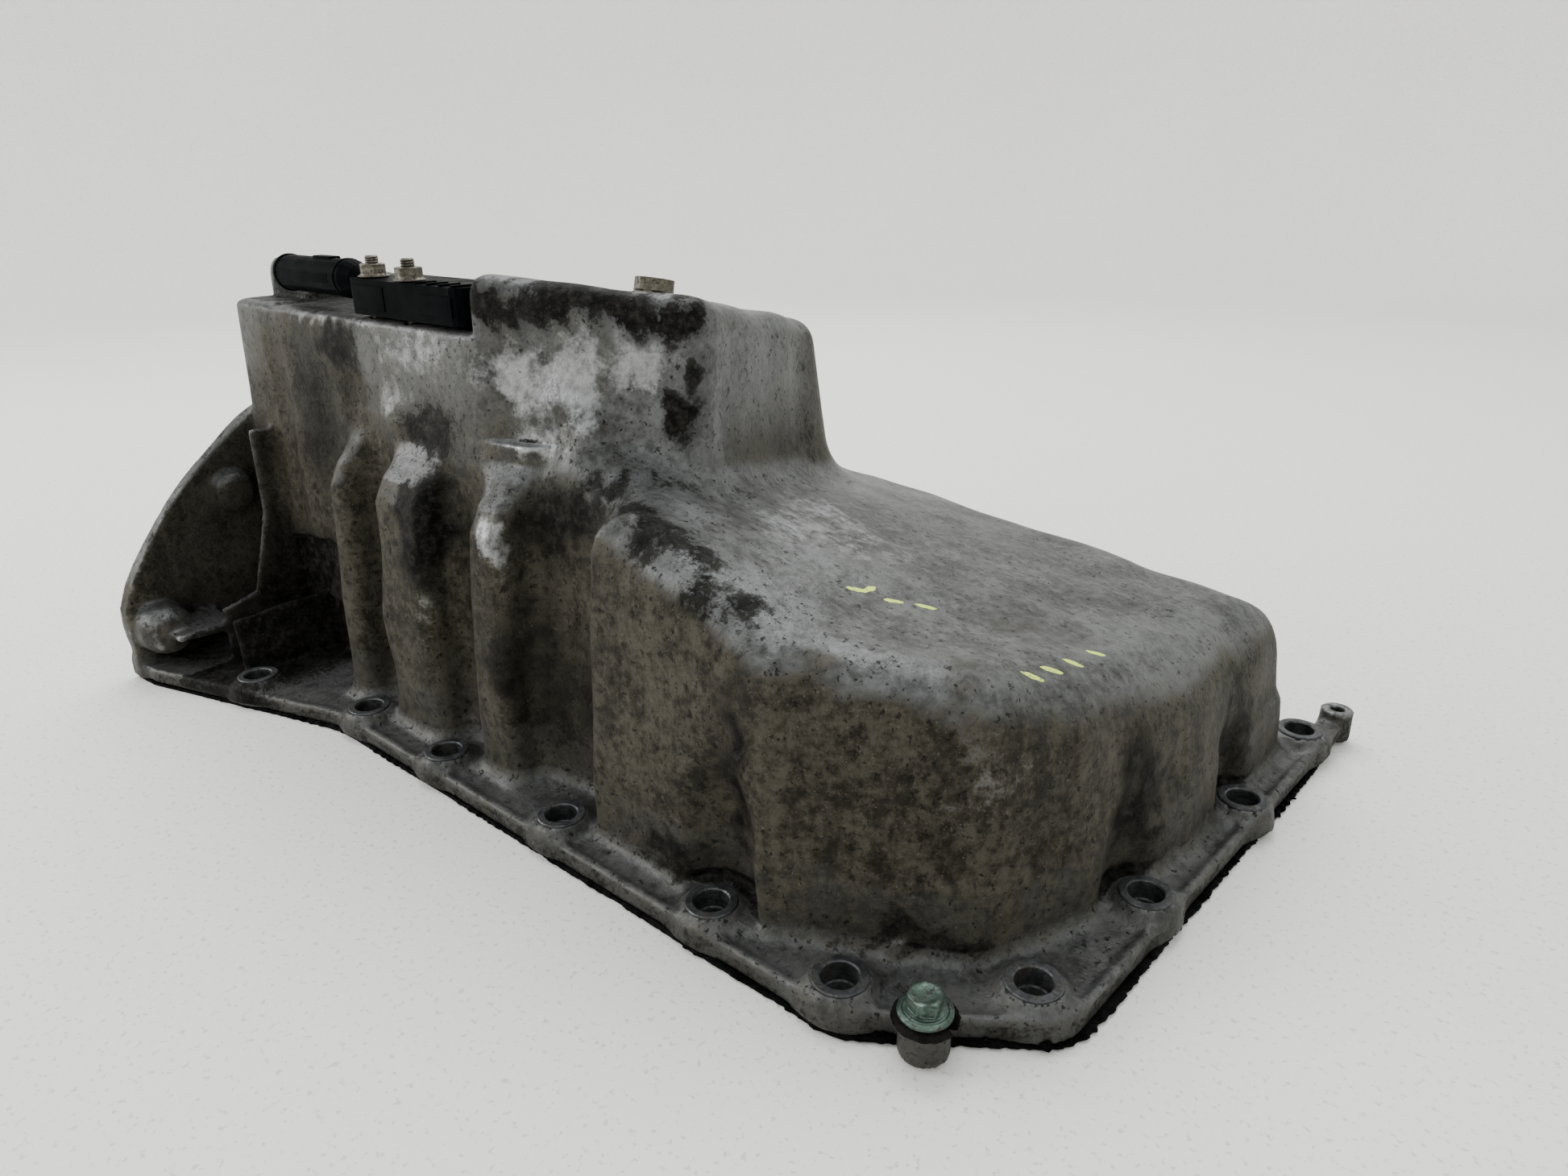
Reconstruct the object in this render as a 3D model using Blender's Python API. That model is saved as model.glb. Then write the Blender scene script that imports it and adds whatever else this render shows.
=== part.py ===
"""Cast-aluminium engine oil pan, standing upside down on its gasket face, with its level
sensor, drain plug, baffle and fasteners. Metres, +Z up. X runs along the crankshaft, with the
bell-housing face at -X, Y across the engine, and Z is 0 at the face of the gasket. Shapes are
drawn in millimetres, and metres() moves each of their points to the part's own frame."""

import math

import bmesh
import bpy
from mathutils import Matrix, Vector

MM = 0.001

# Driving dimensions, in millimetres.
GASKET_THICK = 1.2
GAP = 0.3
FLANGE_BOTTOM = GASKET_THICK + GAP
FLANGE_TOP = 9.5
BOSS_TOP = 13.5
WALL = 5.0
BOLT_HOLE_R = 5.8
BOSS_R = 10.2
POCKET_R = 17.0
POCKET_TOP = 78.0
REAR_FACE_X = -248.5
PLATE_THICK = 10.0
BELL_RADIUS = 195.0
CRANK_Z = -41.5
NOTCH_FLOOR = 186.5
DEEP_TOP_LEFT = 209.0
DEEP_TOP_LEFT_Y = -98.0
DEEP_SLOPE = 0.2
SEGMENTS = 24
BOX_MIDDLE = Vector((-1.85, 0.0, 0.0))

# Places that several pieces share, X and Y.
LEFT_TUBE = (206.0, -123.0)
RIGHT_TUBE = (245.0, 150.0)
TUBE_TOP = 12.2
DRAIN = (-42.0, 11.0)
DRAIN_AXIS = Vector((0.0, DEEP_SLOPE, 1.0)).normalized()
PLUG_R = 6.0
BAFFLE_LUGS = [(-8.0, -89.0), (3.0, 99.0), (-155.0, -81.0), (-155.0, 81.0)]
BAFFLE_TOP = 26.0
NOTCH_REAR_X = -196.0
NOTCH_FRONT_X = -29.5
LEDGE_Y = -78.0
SENSOR = (-70.0, -64.0)
SENSOR_LEFT_X = -114.0
SENSOR_TOP = 201.5
SENSOR_OUTLINE = [(-114.0, -98.0, 3.0), (-31.0, -98.0, 6.0), (-31.0, -70.0, 8.0), (-114.0, -70.0, 8.0)]
SENSOR_BASE_R = 29.0
SENSOR_BASE_HIGH = 5.5
SPIGOT_R = 20.0
ORING_R = 23.0
STUDS = [(-106.0, -90.0), (-75.0, -91.5)]
STUD_R = 3.0
STUD_HIGH = 24.0
STUD_SUNK = 3.4
BARREL_Y = -89.0
BARREL_Z = 200.0
BARREL_LONG = 71.5
PROBE_R = 14.0
PROBE_LONG = 60.0
WASHER_THICK = 1.5
COLLAR_THICK = 3.0
BAFFLE_THICK = 1.6
BAFFLE_HOLE_R = 3.3
BELL_HOLE_R = 5.2
DOWEL_BORE_R = 5.4
DOWEL_SUNK = 7.0
DOWEL_Y = 150.0
DOWEL_Z = 64.0
DOWEL_R = 7.0
BELL_HOLES = [("corner_hole", 163.5, 27.0, 24.0), ("upper_hole", 116.0, 89.0, 14.0), ("top_hole", 62.0, 130.0, 20.0)]

# Bolt holes of the gasket flange, X and Y.
LEFT_HOLES = [(176.5, -125.0), (121.8, -125.0), (41.3, -125.2), (-35.2, -126.6), (-98.5, -127.2)]
FRONT_HOLES = [(222.5, -89.0), (231.0, -26.7), (236.1, 53.6), (236.5, 125.0)]
RIGHT_HOLES = [(160.0, 127.0), (85.0, 127.0), (10.0, 127.0), (-65.0, 127.0)]
REAR_HOLES = [(-172.0, -146.0), (-172.0, 146.0)]
POCKET_HOLES = LEFT_HOLES[1:2] + FRONT_HOLES[1:3] + RIGHT_HOLES

# The buttresses between the left bolts behind the first two: lowest and highest X.
BUTTRESSES = [(-18.5, 2.5), (-86.5, -51.5), (-128.0, -113.5)]
BUTTRESS_Y = -120.0

# Corners as X, Y and the radius that rounds them.
FLANGE_OUTLINE = [
    (REAR_FACE_X, -177.0, 3.0),
    (-228.0, -175.0, 10.0),
    (-110.0, -137.0, 60.0),
    (182.0, -135.0, 24.0),
    (238.0, -94.0, 20.0),
    (247.5, 136.0, 14.0),
    (-110.0, 138.0, 60.0),
    (-228.0, 175.0, 10.0),
    (REAR_FACE_X, 177.0, 3.0),
]
SHALLOW_FOOT = [
    (-30.0, -101.5, 4.0),
    (47.0, -101.5, 5.0),
    (55.0, -121.0, 8.0),
    (141.0, -123.0, 14.0),
    (204.0, -90.0, 30.0),
    (219.0, -50.0, 22.0),
    (231.0, 12.0, 30.0),
    (234.0, 119.0, 16.0),
    (-30.0, 121.0, 6.0),
]
DEEP_FOOT = [
    (-243.0, -103.0, 10.0),
    (20.0, -103.0, 26.0),
    (50.0, -60.0, 26.0),
    (46.0, 112.0, 26.0),
    (-243.0, 119.0, 10.0),
]
DEEP_RIM = [
    (-238.0, -99.0, 12.0),
    (-26.0, -97.0, 30.0),
    (56.0, -55.0, 12.0),
    (27.0, 46.0, 12.0),
    (-238.0, 50.0, 12.0),
]
OPENING = [
    (-236.0, -97.0, 8.0),
    (42.0, -97.0, 5.0),
    (60.0, -115.0, 8.0),
    (146.0, -117.0, 12.0),
    (197.0, -88.0, 30.0),
    (212.0, -52.0, 22.0),
    (225.0, 12.0, 30.0),
    (227.0, 112.0, 14.0),
    (-236.0, 113.0, 8.0),
]


def material(name, colour, metallic, roughness):
    made = bpy.data.materials.new(name)
    made.use_nodes = True
    shader = made.node_tree.nodes["Principled BSDF"]
    shader.inputs["Base Color"].default_value = (*colour, 1.0)
    shader.inputs["Metallic"].default_value = metallic
    shader.inputs["Roughness"].default_value = roughness
    made.diffuse_color = (*colour, 1.0)
    return made


def clear_scene():
    for old in list(bpy.data.objects):
        bpy.data.objects.remove(old)


def add_object(name, mesh_data, finish=None):
    mesh = bpy.data.meshes.new(name)
    bmesh.ops.recalc_face_normals(mesh_data, faces=mesh_data.faces)
    mesh_data.to_mesh(mesh)
    mesh_data.free()
    mesh.shade_smooth()
    mesh.set_sharp_from_angle(angle=math.radians(32))
    made = bpy.data.objects.new(name, mesh)
    bpy.context.scene.collection.objects.link(made)
    if finish:
        mesh.materials.append(finish)
    return made


def as_helper(obj):
    """Keeps a cutter, or a piece that a Boolean joins on, out of the finished part."""
    obj.hide_render = True
    obj.display_type = "WIRE"
    return obj


def rounded(corners, steps=5):
    """A closed outline through corners of (x, y, radius), with an arc at each corner."""
    points = []
    count = len(corners)
    for i, (x, y, radius) in enumerate(corners):
        here = Vector((x, y))
        before = Vector(corners[i - 1][:2]) - here
        after = Vector(corners[(i + 1) % count][:2]) - here
        half = before.angle(after) / 2
        reach = min(radius / math.tan(half), 0.48 * before.length, 0.48 * after.length)
        radius = reach * math.tan(half)
        centre = here + (before.normalized() + after.normalized()).normalized() * radius / math.sin(half)
        first = here + before.normalized() * reach - centre
        last = here + after.normalized() * reach - centre
        turn = first.angle_signed(last)
        for k in range(steps + 1):
            arm = first.copy()
            arm.rotate(Matrix.Rotation(-turn * k / steps, 2))
            points.append(centre + arm)
    return points


def metres(point):
    """A drawing point, in millimetres, in the part's own frame."""
    return (Vector(point) - BOX_MIDDLE) * MM


def loft(name, rings, finish=None):
    """A closed solid through rings with equal counts of (x, y, z) points in millimetres."""
    mesh = bmesh.new()
    layers = [[mesh.verts.new(metres(p)) for p in ring] for ring in rings]
    count = len(rings[0])
    for low, high in zip(layers, layers[1:]):
        for i in range(count):
            j = (i + 1) % count
            mesh.faces.new((low[i], low[j], high[j], high[i]))
    mesh.faces.new(layers[0][::-1])
    mesh.faces.new(layers[-1])
    bmesh.ops.triangulate(mesh, faces=[f for f in mesh.faces if len(f.verts) > 4])
    return add_object(name, mesh, finish)


def prism(name, outline, low, high, finish=None):
    return loft(name, [[(x, y, z) for x, y in outline] for z in (low, high)], finish)


def turned(name, profile, centre, axis=(0, 0, 1), segments=SEGMENTS, finish=None):
    """A solid of revolution: profile is (radius, height) pairs along axis from centre."""
    turn = Vector((0, 0, 1)).rotation_difference(Vector(axis)).to_matrix()
    rings = []
    for radius, height in profile:
        ring = []
        for k in range(segments):
            angle = math.tau * k / segments
            arm = turn @ Vector((radius * math.cos(angle), radius * math.sin(angle), height))
            ring.append(Vector(centre) + arm)
        rings.append(ring)
    return loft(name, rings, finish)


def ring_solid(name, profile, centre, axis=(0, 0, 1), segments=SEGMENTS, finish=None):
    """A ring with a hole: profile is a closed loop of (radius, height) pairs along axis."""
    turn = Vector((0, 0, 1)).rotation_difference(Vector(axis)).to_matrix()
    mesh = bmesh.new()
    layers = []
    for radius, height in profile:
        layer = []
        for k in range(segments):
            angle = math.tau * k / segments
            arm = turn @ Vector((radius * math.cos(angle), radius * math.sin(angle), height))
            layer.append(mesh.verts.new(metres(Vector(centre) + arm)))
        layers.append(layer)
    for low, high in zip(layers, layers[1:] + layers[:1]):
        for i in range(segments):
            j = (i + 1) % segments
            mesh.faces.new((low[i], low[j], high[j], high[i]))
    return add_object(name, mesh, finish)


def box(name, low, high, finish=None):
    outline = [(low[0], low[1]), (high[0], low[1]), (high[0], high[1]), (low[0], high[1])]
    return prism(name, outline, low[2], high[2], finish)


def group(name, pieces):
    made = bpy.data.collections.new(name)
    for piece in pieces:
        made.objects.link(as_helper(piece))
    return made


def boolean(target, pieces, operation):
    """Joins or cuts a list of closed pieces, each of which may overlap the others."""
    step = target.modifiers.new(operation.title(), "BOOLEAN")
    step.operation = operation
    step.operand_type = "COLLECTION"
    step.collection = group(f"{target.name}_{operation.lower()}", pieces)
    step.solver = "EXACT"
    step.use_self = operation == "UNION"


def shallow_height(x, y):
    """Height of the shallow end's sloping top: a shelf at the front and a ramp to the deep end."""
    across = (y + 125.0) / 230.0
    front = 110.5 - 62.0 * across + 20.0 * across**2
    crease = 110.5 - 38.0 * across + 10.0 * across**2
    back = 154.5 - 60.0 * across
    crease_x = 138.0 + 25.0 * across
    if x > crease_x:
        share = min(1.0, (x - crease_x) / (216.0 - crease_x))
        return crease + (front - crease) * share
    share = (crease_x - x) / (crease_x - 35.0)
    roll_off = min(30.0, 0.05 * max(0.0, 28.0 - x) ** 2)
    return crease + (back - crease) * share - roll_off


def deep_height(y):
    return DEEP_TOP_LEFT - DEEP_SLOPE * (y - DEEP_TOP_LEFT_Y)


def capped(ring, centre, height):
    """Rings that close a rounded top, shrinking towards the centre along the height function."""
    made = []
    for share in (0.7, 0.35, 0.05):
        points = [centre + (Vector(p[:2]) - centre) * share for p in ring]
        made.append([(p.x, p.y, height(p.x, p.y)) for p in points])
    return made


def shallow_body(name, inset, low, drop):
    """The shallow end as a solid: inset moves its walls in and drop lowers its top."""
    foot = rounded(SHALLOW_FOOT)
    centre = Vector((110.0, 0.0))
    radius = 14.0

    def top(x, y):
        return shallow_height(x, y) - drop

    def ring(offset, height_of):
        made = []
        for point in foot:
            arm = point - centre
            moved = centre + arm * (1.0 - (offset + inset) / arm.length)
            made.append((moved.x, moved.y, height_of(moved.x, moved.y)))
        return made

    rings = [ring(0.0, lambda x, y: low)]
    rings.append(ring(4.0, lambda x, y: low + 0.6 * (top(x, y) - low)))
    for angle in (0, 22, 45, 68, 90):
        turn = math.radians(angle)
        offset = 7.0 + radius * (1.0 - math.cos(turn))
        sink = radius * (1.0 - math.sin(turn))
        rings.append(ring(offset, lambda x, y, sink=sink: top(x, y) - sink))
    return loft(name, rings + capped(rings[-1], centre, top))


def deep_body(name, inset, low, drop):
    """The deep end as a solid, whose walls lean from its foot to its sloping rim."""
    foot = rounded(DEEP_FOOT)
    rim = rounded(DEEP_RIM)
    centre = Vector((-95.0, -25.0))
    radius = 9.0

    def ring(share, offset, sink):
        made = []
        for below, above in zip(foot, rim):
            point = below.lerp(above, share)
            arm = point - centre
            moved = centre + arm * (1.0 - (offset + inset) / arm.length)
            top = deep_height(moved.y) - drop
            made.append((moved.x, moved.y, low + (top - sink - low) * min(1.0, share)))
        return made

    rings = [ring(0.0, 0.0, 0.0), ring(0.5, 0.0, 0.0)]
    for angle in (0, 30, 60, 90):
        turn = math.radians(angle)
        rings.append(ring(1.0, radius * (1.0 - math.cos(turn)), radius * (1.0 - math.sin(turn))))
    return loft(name, rings + capped(rings[-1], centre, lambda x, y: deep_height(y) - drop))


def pocket_cones(prefix, grow):
    """The tapering flutes that let a socket reach each bolt close to the wall."""
    made = []
    for i, (x, y) in enumerate(POCKET_HOLES):
        profile = [
            (POCKET_R + grow, FLANGE_TOP - 3 * grow),
            (0.86 * POCKET_R + grow, 0.5 * POCKET_TOP),
            (0.35 * POCKET_R + grow, POCKET_TOP + grow),
        ]
        made.append(turned(f"{prefix}_{i}", profile, (x, y, 0), segments=16))
    return made


def bell_profile():
    """The bell-housing face: straight sides, then an arc about the crankshaft, Y and Z."""
    corner_z = 50.0
    start = math.asin((corner_z - CRANK_Z) / BELL_RADIUS)
    arc = []
    for k in range(19):
        angle = start + (math.pi - 2 * start) * k / 18
        arc.append((BELL_RADIUS * math.cos(angle), CRANK_Z + BELL_RADIUS * math.sin(angle)))
    return [(-177.0, FLANGE_BOTTOM), (177.0, FLANGE_BOTTOM), (177.0, 38.0)] + arc + [(-177.0, 38.0)]


def across_prism(name, outline, x_low, x_high):
    """A prism along X of an outline in Y and Z."""
    return loft(name, [[(x, y, z) for y, z in outline] for x in (x_low, x_high)])


def buttress(name, x_low, x_high):
    """A rounded rib of the left wall, whose top leans back into the wall."""
    wall_y = -98.0
    rings = []
    for z, y in ((6.0, BUTTRESS_Y), (60.0, BUTTRESS_Y), (112.0, -117.5), (126.0, -111.0), (134.0, -103.5), (138.0, -98.5)):
        corners = [(x_low, y, 5.0), (x_high, y, 5.0), (x_high + 2.0, wall_y + 2.0, 0.2), (x_low - 2.0, wall_y + 2.0, 0.2)]
        rings.append([(px, py, z) for px, py in rounded(corners, 3)])
    return loft(name, rings)


def casting_additions():
    adds = [prism("flange", rounded(FLANGE_OUTLINE), FLANGE_BOTTOM, FLANGE_TOP)]
    for i, (x_low, x_high) in enumerate(BUTTRESSES):
        adds.append(buttress(f"buttress_{i}", x_low, x_high))
    adds.append(deep_body("deep_outer", 0.0, FLANGE_TOP - 4.0, 0.0))
    front_x = REAR_FACE_X + PLATE_THICK
    adds.append(across_prism("bell_plate", bell_profile(), REAR_FACE_X, front_x))
    for i, (x, y) in enumerate(LEFT_HOLES + FRONT_HOLES + RIGHT_HOLES + REAR_HOLES):
        profile = [(BOSS_R + 2.0, FLANGE_BOTTOM + 2.0), (BOSS_R + 1.2, FLANGE_TOP), (BOSS_R, BOSS_TOP - 1)]
        adds.append(turned(f"boss_{i}", profile + [(BOSS_R - 0.9, BOSS_TOP)], (x, y, 0), segments=20))
    for side in (-1, 1):
        rib_2 = [(-146.0, FLANGE_TOP - 3), (-147.0, 38.0), (-122.0, 40.0), (-100.0, 40.0), (-100.0, 6.5)]
        rib_1 = [(-142.0, 6.5), (-142.0, 36.0), (-124.0, 41.5), (-113.0, 82.0), (-112.0, 124.0), (-95.0, 124.0)]
        rib_1.append((-95.0, 6.5))
        for name, rib, x in (("rib_1", rib_1, -214.0), ("rib_2", rib_2, -189.0)):
            outline = [(side * -y, z) for y, z in rib]
            adds.append(across_prism(f"{name}_{side}", outline, x, x + 5.0))
    return adds


def plate_bosses():
    """The bolt bosses in front of the bell-housing plate, and the web behind each outer one."""
    made = []
    for side in (-1, 1):
        level = [(side * 164.0, 25.0), (side * 140.0, 25.0), (side * 140.0, 29.0), (side * 164.0, 29.0)]
        made.append(across_prism(f"plate_rib_{side}", level, REAR_FACE_X + 4, -209.5))
        corner = [(13.0, 0.0), (12.5, 18.0), (10.0, 24.0), (5.0, 27.0)]
        made.append(turned(f"corner_boss_{side}", corner, (REAR_FACE_X + 2, side * 163.5, 27), (1, 0, 0)))
        upper = [(10.0, 0.0), (9.6, 15.0), (7.0, 18.0)]
        made.append(turned(f"upper_boss_{side}", upper, (REAR_FACE_X + 2, side * 116.0, 89), (1, 0, 0)))
    return made


def straight(name, radius, low, high, centre, axis=(0, 0, 1), segments=20):
    """A plain cylinder from low to high along axis."""
    return turned(name, [(radius, low), (radius, high)], centre, axis, segments)


def rear_pockets(side, grow):
    """The open pockets beside the bell-housing plate. grow is the wall kept inside them."""
    outline = [(-208.5, FLANGE_TOP), (-189.5, FLANGE_TOP), (-189.5, 40.5), (-180.0, 40.5)]
    outline += [(-157.0, 70.0), (-165.0, 73.0), (-208.5, 66.0)]
    outer, inner = side * 200.0, side * (95.0 - grow)
    middle = loft(f"pocket_middle_{side}_{grow}", [[(x, y, z) for x, z in outline] for y in (inner, outer)])
    low_y, high_y = min(outer, inner), max(outer, inner)
    rear = box(f"pocket_rear_{side}_{grow}", (-238.5, low_y, FLANGE_TOP), (-214.5, high_y, 75.0))
    front = box(f"pocket_front_{side}_{grow}", (-183.5, low_y, FLANGE_TOP), (-126.0, high_y, 39.5))
    return [middle, rear, front]


def tube_bosses():
    made = [turned("left_tube", [(7.4, GAP), (7.8, 2.5), (7.6, TUBE_TOP)], (*LEFT_TUBE, 0), segments=20)]
    made.append(turned("right_tube", [(6.4, GAP), (6.8, 2.0), (6.6, 16.0)], (*RIGHT_TUBE, 0), segments=20))
    made.append(box("right_tube_web", (238.0, 128.0, 2.5), (249.0, 148.0, 12.0)))
    return made


def cavity():
    """The hollow of the pan, open at the gasket face, with walls kept round every pocket."""
    low = -6.0
    hollow = deep_body("cavity", WALL, low, WALL)
    kept = pocket_cones("kept_cone", WALL)
    for side in (-1, 1):
        inner, outer = sorted((side * 90.0, side * 160.0))
        kept.append(box(f"kept_rear_{side}", (-250.0, inner, low - 1), (-120.0, outer, 79.0)))
        bolt = (REAR_FACE_X, side * 62.0, 130.0)
        kept.append(straight(f"kept_bolt_{side}", 10.0, 0, 27, bolt, (1, 0, 0)))
    for i, (x, y) in enumerate(BAFFLE_LUGS):
        profile = [(11.5, BAFFLE_TOP), (12.5, 60.0), (4.0, 84.0)]
        kept.append(turned(f"kept_lug_{i}", profile, (x, y, 0), segments=16))
    kept.append(box("kept_notch", (-202.0, -150.0, NOTCH_FLOOR - WALL), (-24.0, 40.0, 230.0)))
    kept.append(box("kept_ledge", (-250.0, -151.0, NOTCH_FLOOR - WALL - 0.2), (-201.0, LEDGE_Y + 6.0, 231.0)))
    kept.append(straight("kept_drain", 13.0, -16, 20, drain_point(), DRAIN_AXIS))
    boolean(hollow, [shallow_body("cavity_shallow", WALL, low, WALL)], "UNION")
    boolean(hollow, kept, "DIFFERENCE")
    return hollow


def drain_point():
    return Vector((*DRAIN, deep_height(DRAIN[1])))


def casting(finish):
    body = shallow_body("pan_casting", 0.0, FLANGE_TOP - 4.0, 0.0)
    body.data.materials.append(finish)
    boolean(body, casting_additions() + tube_bosses(), "UNION")
    boolean(body, pocket_cones("pocket", 0.0) + rear_pockets(-1, 0.0) + rear_pockets(1, 0.0), "DIFFERENCE")
    boolean(body, plate_bosses(), "UNION")
    notch = [(NOTCH_REAR_X, -160.0, 2.0), (NOTCH_FRONT_X, -160.0, 2.0), (NOTCH_FRONT_X, 40.0, 8.0)]
    notch.append((NOTCH_REAR_X, 40.0, 8.0))
    cuts = [prism("notch", rounded(notch, 3), NOTCH_FLOOR, 240.0)]
    cuts.append(box("rear_ledge", (-260.0, -161.0, NOTCH_FLOOR + 0.4), (NOTCH_REAR_X + 2.0, LEDGE_Y, 241.0)))
    cuts.append(straight("probe_hole", SPIGOT_R + GAP, -30, 20, (*SENSOR, NOTCH_FLOOR), segments=28))
    cuts.append(straight("oring_seat", ORING_R + 3.0, -2.4, 20, (*SENSOR, NOTCH_FLOOR), segments=28))
    for i, (x, y) in enumerate(STUDS):
        cuts.append(straight(f"stud_hole_{i}", STUD_R + GAP, -4.0, 5, (x, y, NOTCH_FLOOR), segments=14))
    for i, (x, y) in enumerate(LEFT_HOLES + FRONT_HOLES + RIGHT_HOLES + REAR_HOLES):
        cuts.append(straight(f"hole_{i}", BOLT_HOLE_R, -2, 20, (x, y, 0)))
    cuts.append(straight("left_tube_hole", 3.3, -2, 20, (*LEFT_TUBE, 0), segments=16))
    cuts.append(straight("right_tube_hole", 2.8, -2, 20, (*RIGHT_TUBE, 0), segments=16))
    for side in (-1, 1):
        for name, y, z, deep in BELL_HOLES:
            centre = (REAR_FACE_X, side * y, z)
            cuts.append(straight(f"{name}_{side}", BELL_HOLE_R, -2, deep, centre, (1, 0, 0)))
        dowel = (REAR_FACE_X, side * DOWEL_Y, DOWEL_Z)
        cuts.append(straight(f"dowel_hole_{side}", DOWEL_R + GAP, -2, DOWEL_SUNK + 0.5, dowel, (1, 0, 0)))
    for i, (x, y) in enumerate(BAFFLE_LUGS):
        cuts.append(straight(f"baffle_hole_{i}", BAFFLE_HOLE_R, -2, 16, (x, y, BAFFLE_TOP), segments=12))
    cuts.append(straight("drain_hole", PLUG_R + GAP, -40, 20, drain_point(), DRAIN_AXIS))
    boolean(body, cuts + [cavity()], "DIFFERENCE")
    return body


def gasket(finish):
    made = prism("pan_gasket", rounded(FLANGE_OUTLINE), 0.0, GASKET_THICK, finish)
    opening = prism("gasket_opening", rounded(OPENING), -3.0, 4.0)
    kept = []
    for i, (x, y) in enumerate(POCKET_HOLES):
        kept.append(straight(f"gasket_kept_{i}", POCKET_R + WALL - 1.5, -5, 6, (x, y, 0), segments=16))
    for side in (-1, 1):
        inner, outer = sorted((side * 91.0, side * 160.0))
        kept.append(box(f"gasket_kept_rear_{side}", (-250.0, inner, -5.0), (-121.5, outer, 6.0)))
    boolean(opening, kept, "DIFFERENCE")
    cuts = [opening]
    for i, (x, y) in enumerate(LEFT_HOLES + FRONT_HOLES + RIGHT_HOLES + REAR_HOLES):
        cuts.append(straight(f"gasket_hole_{i}", BOLT_HOLE_R + 0.6, -2, 4, (x, y, 0), segments=16))
    cuts.append(straight("gasket_tube_left", 8.4, -2, 4, (*LEFT_TUBE, 0)))
    boolean(made, cuts, "DIFFERENCE")
    return made


def hexagon(name, across, low, high, centre, axis, finish):
    """A hexagonal head or nut, with its corners chamfered at the top."""
    corner = across / math.sqrt(3)
    chamfer = 0.6
    profile = [(corner, low), (corner, high - chamfer), (corner - 1.4 * chamfer, high)]
    return turned(name, profile, centre, axis, 6, finish)


def flanged_bolt(name, across, head, flange_r, flange, shank_r, length, centre, axis, finish):
    """A hex bolt with its own flange: centre is under the flange, and the shank goes back."""
    profile = [(shank_r - 0.6, -length), (shank_r, 1.2 - length), (shank_r, 0.0)]
    profile += [(flange_r - 0.3, 0.0), (flange_r, flange * 0.6), (across * 0.46, flange)]
    made = turned(name, profile, centre, axis, SEGMENTS, finish)
    boolean(made, [hexagon(f"{name}_hex", across, 0.3, head, centre, axis, finish)], "UNION")
    return made


def drain(steel, copper):
    """The drain plug and its sealing washer, on the axis of the drain hole."""
    washer_low = GAP
    washer_high = washer_low + WASHER_THICK
    seat = drain_point()
    profile = [(PLUG_R + GAP, washer_low), (10.0, washer_low), (10.0, washer_high), (PLUG_R + GAP, washer_high)]
    washer = ring_solid("drain_washer", profile, seat, DRAIN_AXIS, finish=copper)
    under_head = seat + Vector(DRAIN_AXIS) * (washer_high + GAP)
    plug = flanged_bolt("drain_plug", 17.0, 8.0, 9.8, 2.2, PLUG_R, 14.0, under_head, DRAIN_AXIS, steel)
    return washer, plug


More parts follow.
